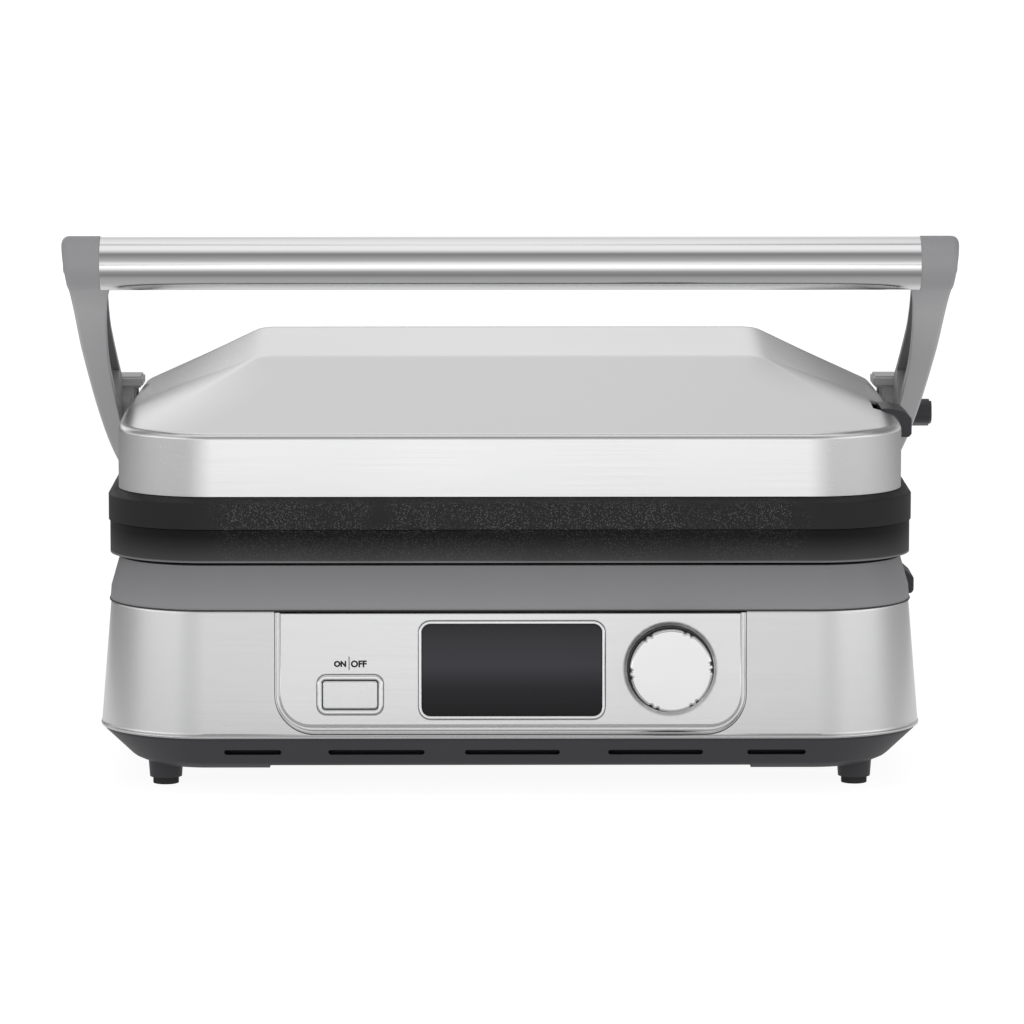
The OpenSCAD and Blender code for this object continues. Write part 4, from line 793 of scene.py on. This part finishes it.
base = {
    "cornerRadius": 42,
    "lean": 4,
    "sheet": 1.2,
    "hem": 1.3,             # rolled lower edge
    "hemOut": 0.35,
    "hemDrop": 1.2,
    "trayRoom": 0.4,        # room of the openings round the tray and the lower release button
    "releaseRoom": 0.3,
    "glandLap": 2.9,        # how far the gland's flange covers the sheet
    # (inset, z) points round a dark strip in the seam between skirt and deck, painted shade for the gap's shadow
    "seam_shadow": ((3.4, 71.7), (3.3, 71.95), (3.4, 72.3), (4.6, 72.3), (4.6, 71.7)),
}
skirtLow, skirtHigh = nodeBox("steel_skirt")
leanAngle = math.atan2(base["lean"], skirtHigh.z - skirtLow.z)
panelLength = (skirtHigh.z - skirtLow.z) / math.cos(leanAngle)
# x right, y up the leaning front face, z out of it
onFront = Matrix((
    (1, 0, 0, 0),
    (0, math.sin(leanAngle), -math.cos(leanAngle), skirtLow.y),
    (0, math.cos(leanAngle), math.sin(leanAngle), skirtLow.z),
    (0, 0, 0, 1)))


def sweptRing(section):
    # A closed section of (inset, z) points swept round the base's outline
    bm = bmesh.new()
    rings = []
    for inset, z in section:
        loop = roundedLoop(skirtLow.x + inset, skirtHigh.x - inset, skirtLow.y + inset, skirtHigh.y - inset,
            base["cornerRadius"] - inset, 24)
        rings.append([(x, y, z) for x, y in loop])
    loops = skin(bm, rings)
    first, last = loops[0], loops[-1]
    for k in range(len(first)):
        ahead = (k + 1) % len(first)
        bm.faces.new((last[k], last[ahead], first[ahead], first[k])).smooth = True
    return bm


def trayOpening(foot):
    # What the drip tray needs to pass, from a height upwards
    low, high = nodeBox("drip_tray")
    room = base["trayRoom"]
    return boxShape((low.x - room, 0, foot), (high.x + room, high.y, high.z + room))


panel = {
    "gapHalf": 90.4, "gapFoot": 0.4, "gapRadius": 15.5, "groove": 3.6, "topGap": 0.9,
    "sheet": 1.2, "edge": 0.5,
    "channel": 0.9,         # depth of the stamped channel round the panel
    "sideShare": 0.55,      # the channel is narrower at the sides
    "dishRadius": 18.6, "dishDepth": 0.22, "ringRoom": 16.35,
}
display = {"x": 0.5, "y": 25.3, "w": 69, "h": 35.2, "radius": 3.4, "rim": 1.2, "rimOut": 0.35,
    "glassOut": 0.1}
button = {"x": -61.4, "y": 15.9, "w": 20.9, "h": 10.7, "radius": 1.4, "frame": 2.25, "frameOut": 0.8,
    "capOut": 1.0}
knob = {"x": 61.2, "y": 25.7, "d": 31.4, "h": 11, "ringD": 32.1, "bodyD": 30.6, "pairs": 6, "notchD": 1.9,
    "notchTurn": 10, "foot": 8.2, "edge": 0.8}


def panelLoop(half, foot, top, r, steps=10):
    # Round corners below, square above
    loop = [(half, top), (-half, top)]
    for cx, start in ((r - half, 180), (half - r, 270)):
        for turn in quarter(steps):
            a = math.radians(start) + turn
            loop.append((cx + r * math.cos(a), foot + r + r * math.sin(a)))
    return loop


def buildSkirt(values):
    rise = skirtHigh.z - skirtLow.z
    hem, out = values["hem"], values["hemOut"]

    def leanAt(z):
        return values["lean"] * (z - skirtLow.z) / rise

    t = values["sheet"]
    foot, top = skirtLow.z - values["hemDrop"], skirtHigh.z
    neck = foot + hem
    heights = (neck + 0.3, neck + 1, foot + 8, foot + 20, foot + 34, top - 1.2, top - 0.5)
    levels = [(t, foot + 0.5), (t - 0.2, foot + 0.1), (0.5, foot), (0.1 - out, foot + 0.2),
        (-out, foot + 0.5), (-out, neck - 0.3), (leanAt(neck) - out * 0.5, neck)]
    levels += [(leanAt(z), z) for z in heights]
    levels += [(leanAt(top) + 0.15, top - 0.12), (leanAt(top) + 0.45, top), (leanAt(top) + t, top),
        (leanAt(top) + t, top - 3), (t + leanAt(foot + 4), foot + 4)]

    gap = bmesh.new()
    loop = panelLoop(panel["gapHalf"], panel["gapFoot"], panelLength + 5, panel["gapRadius"], 14)
    loops = skin(gap, [[(x, y, z) for x, y in loop] for z in (-4, 4)])
    cap(gap, [loops[0]])
    cap(gap, [loops[-1]])
    put(gap, onFront)
    trayTop = nodeBox("drip_tray")[1].z
    glandLow, glandHigh = nodeBox("cord_gland")
    releaseLow, releaseHigh = nodeBox("lower_release_button")
    lap, room = values["glandLap"], values["releaseRoom"]
    cutters = [gap, trayOpening(0),
        boxShape((glandLow.x + lap, skirtHigh.y - 12, trayTop - 2),
            (glandHigh.x - lap, skirtHigh.y + 2, glandHigh.z - lap)),
        boxShape((releaseLow.x - 3, releaseLow.y - room, releaseLow.z - room),
            (releaseHigh.x + 6, releaseHigh.y + room, releaseHigh.z + room))]
    piece("skirt_sheet", carved(sweptRing(levels), cutters), "base", "skirt_steel", ["steel_skirt"])


pan = {
    # (inset, z) points round the wall's section
    "rim": ((0.7, 24.2), (0.7, 22.5), (1.2, 21.7), (11.4, 11.9), (12.6, 11), (15, 9.9), (17.6, 8.8),
        (18.6, 8.6), (22, 8.6), (22, 10.1), (18, 10.1), (13, 12.2), (2.4, 22.4), (2.4, 24.2)),
    "belly": (95.6, 92.4, 10.3),    # half widths and height of the flat cut under the middle
    "slots": ((-110, -88), (-70, -33), (-17.5, 19), (37.5, 74), (91, 113.5)),   # the vents, by x
    "slotY": 6,             # from the skirt's front
    "slotZ": 16.6, "slotH": 2.3,
}


def buildPanRim(values):
    # The visible wall of the pan, with its vents
    cutters = []
    height = values["slotH"]
    for x0, x1 in values["slots"]:
        slot = bmesh.new()
        slab(slot, tile(x1 - x0, height, height / 2 - 0.05), -8, 8, (), 0.01)
        put(slot, Matrix.Rotation(math.pi / 2, 4, "X"))
        put(slot, Matrix.Translation(((x0 + x1) / 2, skirtLow.y + values["slotY"], values["slotZ"])))
        cutters.append(slot)
    wide, narrow, height = values["belly"]
    belly = boxShape((-wide, skirtLow.y - 1, 0), (wide, skirtHigh.y + 1, height))
    for vert in belly.verts:
        if vert.co.z > 1:
            vert.co.x *= narrow / wide
    cutters += [belly, trayOpening(nodeBox("drip_tray")[0].z - 0.3)]
    piece("pan_rim", carved(sweptRing(values["rim"]), cutters), "base", "black_plastic")


def buildPanel(values):
    # The face falls into a channel and comes up again beside the skirt's cut edge
    half = values["gapHalf"] - values["groove"] * values["sideShare"]
    foot, top = values["gapFoot"] + values["groove"], panelLength - values["topGap"]
    radius = values["gapRadius"] - values["groove"]
    t, edge, depth, deep = values["sheet"], values["edge"], values["dishDepth"], values["channel"]
    wide = values["groove"] - 0.25
    levels = [(-wide, -t - 0.4), (-wide, -0.5), (0.2 - wide, -0.32), (0.5 - wide, -0.3), (0.8 - wide, -0.45),
        (1.3 - wide, -deep + 0.12), (1.8 - wide, -deep), (-0.7, -deep), (-0.3, -deep + 0.1), (-0.05, -edge)]
    levels += [(edge * (1 - math.cos(a)), -edge * (1 - math.sin(a))) for a in quarter(3)]

    def outer(inset):
        grown = max(inset, 0)
        side = grown + values["sideShare"] * min(inset, 0)
        return panelLoop(half - side, foot + inset, top - grown, radius - inset)

    def opening(part, border):
        return shifted(tile(part["w"] + 2 * border, part["h"] + 2 * border, part["radius"] + border),
            part["x"], part["y"])

    reach = values["dishRadius"] - values["ringRoom"]
    dish = [(reach + 0.05, -t - 0.4), (reach, -depth - 0.1)]
    dish += [(reach * (1 - f), -depth * (1 - f) ** 2 * (1 + 2 * f))
        for f in (0.04, 0.2, 0.35, 0.5, 0.65, 0.8, 0.9, 1)]
    bm = bmesh.new()
    slab(bm, (outer, levels), -t - 0.4, 0, [opening(display, display["rim"] + 0.12),
        opening(button, button["frame"] + 0.12),
        (shifted(disc(values["dishRadius"], 96), knob["x"], knob["y"]), dish)], 0.35)
    put(bm, onFront)
    piece("panel_sheet", bm, "base", "panel_steel", ["control_panel"], 50)


def buildDisplay(values):
    w, h, r, rim = values["w"], values["h"], values["radius"], values["rim"]
    place = onFront @ Matrix.Translation((values["x"], values["y"], 0))
    bm = bmesh.new()
    slab(bm, tile(w + 2 * rim, h + 2 * rim, r + rim), -1.2, values["rimOut"], [tile(w + 0.1, h + 0.1, r)])
    put(bm, place)
    piece("display_edge", bm, "base", "bright_trim", ["display_rim_frame"], 60)
    bm = bmesh.new()
    slab(bm, tile(w - 0.1, h - 0.1, r), -1.2, values["glassOut"], (), 0.25)
    put(bm, place)
    piece("display_glass", bm, "base", "display_glass", ["display_window"])


def buildButton(values):
    w, h, r, frame = values["w"], values["h"], values["radius"], values["frame"]
    place = onFront @ Matrix.Translation((values["x"], values["y"], 0))
    bm = bmesh.new()
    slab(bm, tile(w + 2 * frame, h + 2 * frame, r + frame), -1.2, values["frameOut"],
        [tile(w + 0.6, h + 0.6, r)], 0.6)
    put(bm, place)
    piece("button_bezel", bm, "base", "bright_trim", ["power_button_frame"], 60)
    bm = bmesh.new()
    slab(bm, tile(w, h, r - 0.3), -3.7, values["capOut"], (), 0.45)
    put(bm, place)
    piece("button_cap", bm, "power_button", "button_steel", ["power_button"])


def notchedDisc(values):
    # The cap's outline: round, with pairs of small round notches
    r, small = values["d"] / 2, values["notchD"] / 2
    centre = r + 0.3
    angles = [math.radians(360 / values["pairs"] * k + turn)
        for k in range(values["pairs"]) for turn in (0, values["notchTurn"])]

    def radiusAt(a):
        best = r
        for notch in angles:
            off = (a - notch + math.pi) % math.tau - math.pi
            across = centre * math.sin(off)
            if abs(off) < 0.3 and abs(across) < small:
                best = min(best, centre * math.cos(off) - math.sqrt(small ** 2 - across ** 2))
        return best

    steps = 480
    radii = [radiusAt(math.tau * k / steps) for k in range(steps)]
    return lambda inset: [((radii[k] - inset) * math.cos(math.tau * k / steps),
        (radii[k] - inset) * math.sin(math.tau * k / steps)) for k in range(steps)]


def buildKnob(values):
    place = onFront @ Matrix.Translation((values["x"], values["y"], 0))
    ring, body, foot = values["ringD"] / 2, values["bodyD"] / 2, values["foot"]
    bm = bmesh.new()
    lathe(bm, [(0, 1.0), (ring - 0.3, 1.0), (ring, 1.3), (ring, 2.0), (ring - 0.4, 2.4), (body, 2.4),
        (body, foot), (body - 0.6, foot + 0.5), (0, foot + 0.5)], 96)
    put(bm, place)
    piece("knob_base_ring", bm, "knob", "ring_black", ["knob_ring"])
    bm = bmesh.new()
    slab(bm, notchedDisc(values), foot, values["h"], (), values["edge"])
    put(bm, place)
    piece("knob_cap", bm, "knob", "knob_face", ["selector_knob"])


label = {"x": -61.7, "y": 27.7, "words": (("ON", -3.55, 4.75, 0.06), ("OFF", 3.6, 6.1, 0.045)),
    "barX": -0.1, "barWidth": 0.34, "barHeight": 5.2}


def buildLabel(values):
    place = onFront @ Matrix.Translation((values["x"], values["y"], 0.03))
    shapes = []
    for word, x, width, bold in values["words"]:
        curve = bpy.data.curves.new("switch_label", "FONT")
        curve.body = word
        curve.offset = bold
        curve.align_x, curve.align_y = "CENTER", "CENTER"
        curve.resolution_u = 3
        text = bpy.data.objects.new("switch_label_curve", curve)
        bpy.context.scene.collection.objects.link(text)
        flat = bpy.data.meshes.new_from_object(text.evaluated_get(bpy.context.evaluated_depsgraph_get()))
        bm = bmesh.new()
        bm.from_mesh(flat)
        bpy.data.meshes.remove(flat)
        bpy.data.objects.remove(text)
        bpy.data.curves.remove(curve)
        xs = [vert.co.x for vert in bm.verts]
        ys = [vert.co.y for vert in bm.verts]
        middle = Matrix.Translation((-(max(xs) + min(xs)) / 2, -(max(ys) + min(ys)) / 2, 0))
        put(bm, Matrix.Translation((x, 0, 0)) @ Matrix.Scale(width / (max(xs) - min(xs)), 4) @ middle)
        shapes.append(bm)
    bar = bmesh.new()
    half, height = values["barWidth"] / 2, values["barHeight"]
    corners = [(-half, -0.45), (half, -0.45), (half, 0.55), (-half, 0.55)]
    bar.faces.new([bar.verts.new((values["barX"] + x, y * height, 0)) for x, y in corners])
    bm = joined(shapes + [bar])
    put(bm, place)
    piece("switch_label", bm, "base", "label_ink", weld=False)


buildSkirt(base)
buildPanRim(pan)
# a dark strip as painted shade in the seam's gap
piece("seam_shadow_strip", sweptRing(base["seam_shadow"]), "base", "liner_plastic")
buildPanel(panel)
buildDisplay(display)
buildButton(button)
buildKnob(knob)
buildLabel(label)
print("skirt and panel built")

# Arms and handle

arms = {
    "curve": ((-149, 204.5), (-105, 197.1), (-20, 133), (130, 102.4)),   # y and z of the middle line
    "x": (159, 169),
    "flare": (7.2, 0.5),   # how far the inner face widens at the handle, and where it ends along the curve
    "draw": (-80, 130, 4.5),    # the outer face draws in by this much from one y to another
    "half": (9.4, 2.6),     # half width at the handle, and what it gains at the hinge
    "flange": 3.0,
    "hollow": (0.1, 0.66),
    "hollowX": 166,
    "outerRound": (1.6, 1.6),
    "innerRound": 0.7,
    "capD": 21, "capX": (155.7, 169.7), "capRound": (2.3, 1.1), "capLean": 1.5,
    "hubX": 152.3, "hubR": 12, "bossX": 154.7, "bossD": 19, "pivot": (28, 133),
    "tabs": (((150.6, 18, 139.6), (162, 38, 144.2)), ((153.2, 19, 130), (162, 37, 143))),
    "stations": 44,
    "leverAt": 0.775,       # the lever's place along the curve
    "leverSlot": ((163.6, -9.9, -3.4), (170, 3.9, 3.4)),    # x, then along and across the curve
}


def armPoint(values, t):
    p = [Vector(point) for point in values["curve"]]
    u = 1 - t
    point = p[0] * u ** 3 + p[1] * 3 * t * u * u + p[2] * 3 * t * t * u + p[3] * t ** 3
    run = ((p[1] - p[0]) * u * u + (p[2] - p[1]) * 2 * t * u + (p[3] - p[2]) * t * t).normalized()
    return point, run


def armSection(values, t, hollow):
    # (across, x) points round the arm's section; the hollow opens towards the lid
    x0, x1 = values["x"]
    flare, reach = values["flare"]
    x0 -= flare * max(1 - t / reach, 0) ** 1.4
    half = values["half"][0] + values["half"][1] * t * t
    start, end = values["outerRound"]
    outer = end + (start - end) * max(1 - t / 0.3, 0) ** 2
    inner = values["innerRound"]
    rib = half - values["flange"]
    floor = values["hollowX"] if hollow else x0
    section = [(half - inner + inner * math.cos(a), x0 + inner - inner * math.sin(a)) for a in quarter(3)]
    section += [(rib, x0), (rib, floor), (-rib, floor), (-rib, x0)]
    section += [(-half + inner - inner * math.sin(a), x0 + inner - inner * math.cos(a)) for a in quarter(3)]
    section += [(-half + outer - outer * math.cos(a), x1 - outer + outer * math.sin(a)) for a in quarter(6)]
    section += [(half - outer + outer * math.sin(a), x1 - outer + outer * math.cos(a)) for a in quarter(6)]
    return section


def armShape(values):
    first, last = values["hollow"]
    count = values["stations"]
    stations = [(k / count, first < k / count < last) for k in range(count + 1)]
    stations += [(first, False), (first + 0.0002, True), (last - 0.0002, True), (last, False)]
    rings = []
    for t, hollow in sorted(stations):
        point, run = armPoint(values, t)
        side = Vector((-run.y, run.x))
        rings.append([(x, *(point + side * across)) for across, x in armSection(values, t, hollow)])
    bm = bmesh.new()
    loops = skin(bm, rings)
    cap(bm, [loops[0]])
    cap(bm, [loops[-1]])
    return bm


def drawnIn(values, bm):
    # Draws the outer face in towards the hinge and leaves the inner one
    x0, x1 = values["x"]
    start, end, depth = values["draw"]
    for vert in bm.verts:
        if vert.co.x > x0:
            f = min(max((vert.co.y - start) / (end - start), 0), 1)
            vert.co.x = x0 + (vert.co.x - x0) * (x1 - depth * f - x0) / (x1 - x0)
    return bm


def capShape(values, y, z, steps=56):
    # The round end over the tube: its outer face leans in towards the foot, where its edge is sharper
    r, lean = values["capD"] / 2, values["capLean"]
    inner, outer = values["capX"]
    edge, gain = values["capRound"]

    def ring(radius, x, inward=0, back=0):
        # inward and back are shares of the edge's rounding
        points = []
        for k in range(steps):
            up = math.sin(math.tau * k / steps)
            rounding = edge + gain * up
            here, out = radius - inward * rounding, x - back * rounding
            points.append((out + (lean * up * here / r if x > inner + 6 else 0),
                y + here * math.cos(math.tau * k / steps), z + here * up))
        return points

    rings = [ring(0.5, inner), ring(r - 0.5, inner), ring(r, inner + 0.5)]
    rings += [ring(r, outer, 1 - math.cos(a), 1 - math.sin(a)) for a in quarter(6)]
    rings += [ring(4, outer), ring(3.8, outer - 0.4), ring(0.5, outer - 0.4)]
    bm = bmesh.new()
    loops = skin(bm, rings)
    cap(bm, [loops[0]])
    cap(bm, [loops[-1]])
    return bm


def buildArm(values, side):
    name = "right" if side > 0 else "left"
    x0, x1 = values["x"]
    handle, hinge = values["curve"][0], values["curve"][-1]
    hub = bmesh.new()
    hubX, hubR = values["hubX"], values["hubR"]
    lathe(hub, [(0, hubX), (hubR - 0.6, hubX), (hubR, hubX + 0.6), (hubR, x0), (hubR, x1 - 1.6),
        (hubR - 0.5, x1 - 0.5), (hubR - 1.6, x1 + 0.02), (0, x1 + 0.02)], 56)
    put(hub, alongX(*hinge))
    band = drawnIn(values, joined([armShape(values), hub]))
    if side > 0:
        point, run = armPoint(values, values["leverAt"])
        slot = boxShape(*values["leverSlot"])
        put(slot, Matrix.Rotation(math.atan2(run.y, run.x), 4, "X"))
        put(slot, Matrix.Translation((0, point.x, point.y)))
        band = carved(band, [slot])
    end = capShape(values, *handle)
    boss = bmesh.new()
    bossX, bossR = values["bossX"], values["bossD"] / 2
    lathe(boss, [(0, bossX), (bossR - 0.9, bossX), (bossR, bossX + 0.9), (bossR, x0 + 2), (0, x0 + 2)], 40)
    put(boss, alongX(*values["pivot"]))
    tabs = [boxShape(*corners) for corners in values["tabs"]]
    for tab in tabs:
        bmesh.ops.bevel(tab, geom=tab.edges[:], offset=0.9, segments=3, affect="EDGES")
    whole = joined([band, end, boss] + tabs)
    if side < 0:
        put(whole, Matrix.Diagonal((-1, 1, 1, 1)))
    piece("arm_moulding_" + name, whole, "arms", "arm_plastic", ["arm_" + name], 30)


def buildHandle():
    low, high = nodeBox("handle_tube")
    r = (high.z - low.z) / 2
    bm = bmesh.new()
    lathe(bm, [(r - 1.2, low.x), (r - 0.2, low.x), (r, low.x + 0.25), (r, low.x + 3)]
        + [(r, low.x + 3 + (high.x - low.x - 6) * k / 8) for k in range(1, 9)]
        + [(r, high.x - 0.25), (r - 0.2, high.x), (r - 1.2, high.x)], 96)
    put(bm, alongX((low.y + high.y) / 2, (low.z + high.z) / 2))
    piece("handle_shaft", bm, "arms", "handle_steel", ["handle_tube"])


buildArm(arms, -1)
buildArm(arms, 1)
buildHandle()
print("arms and handle built")
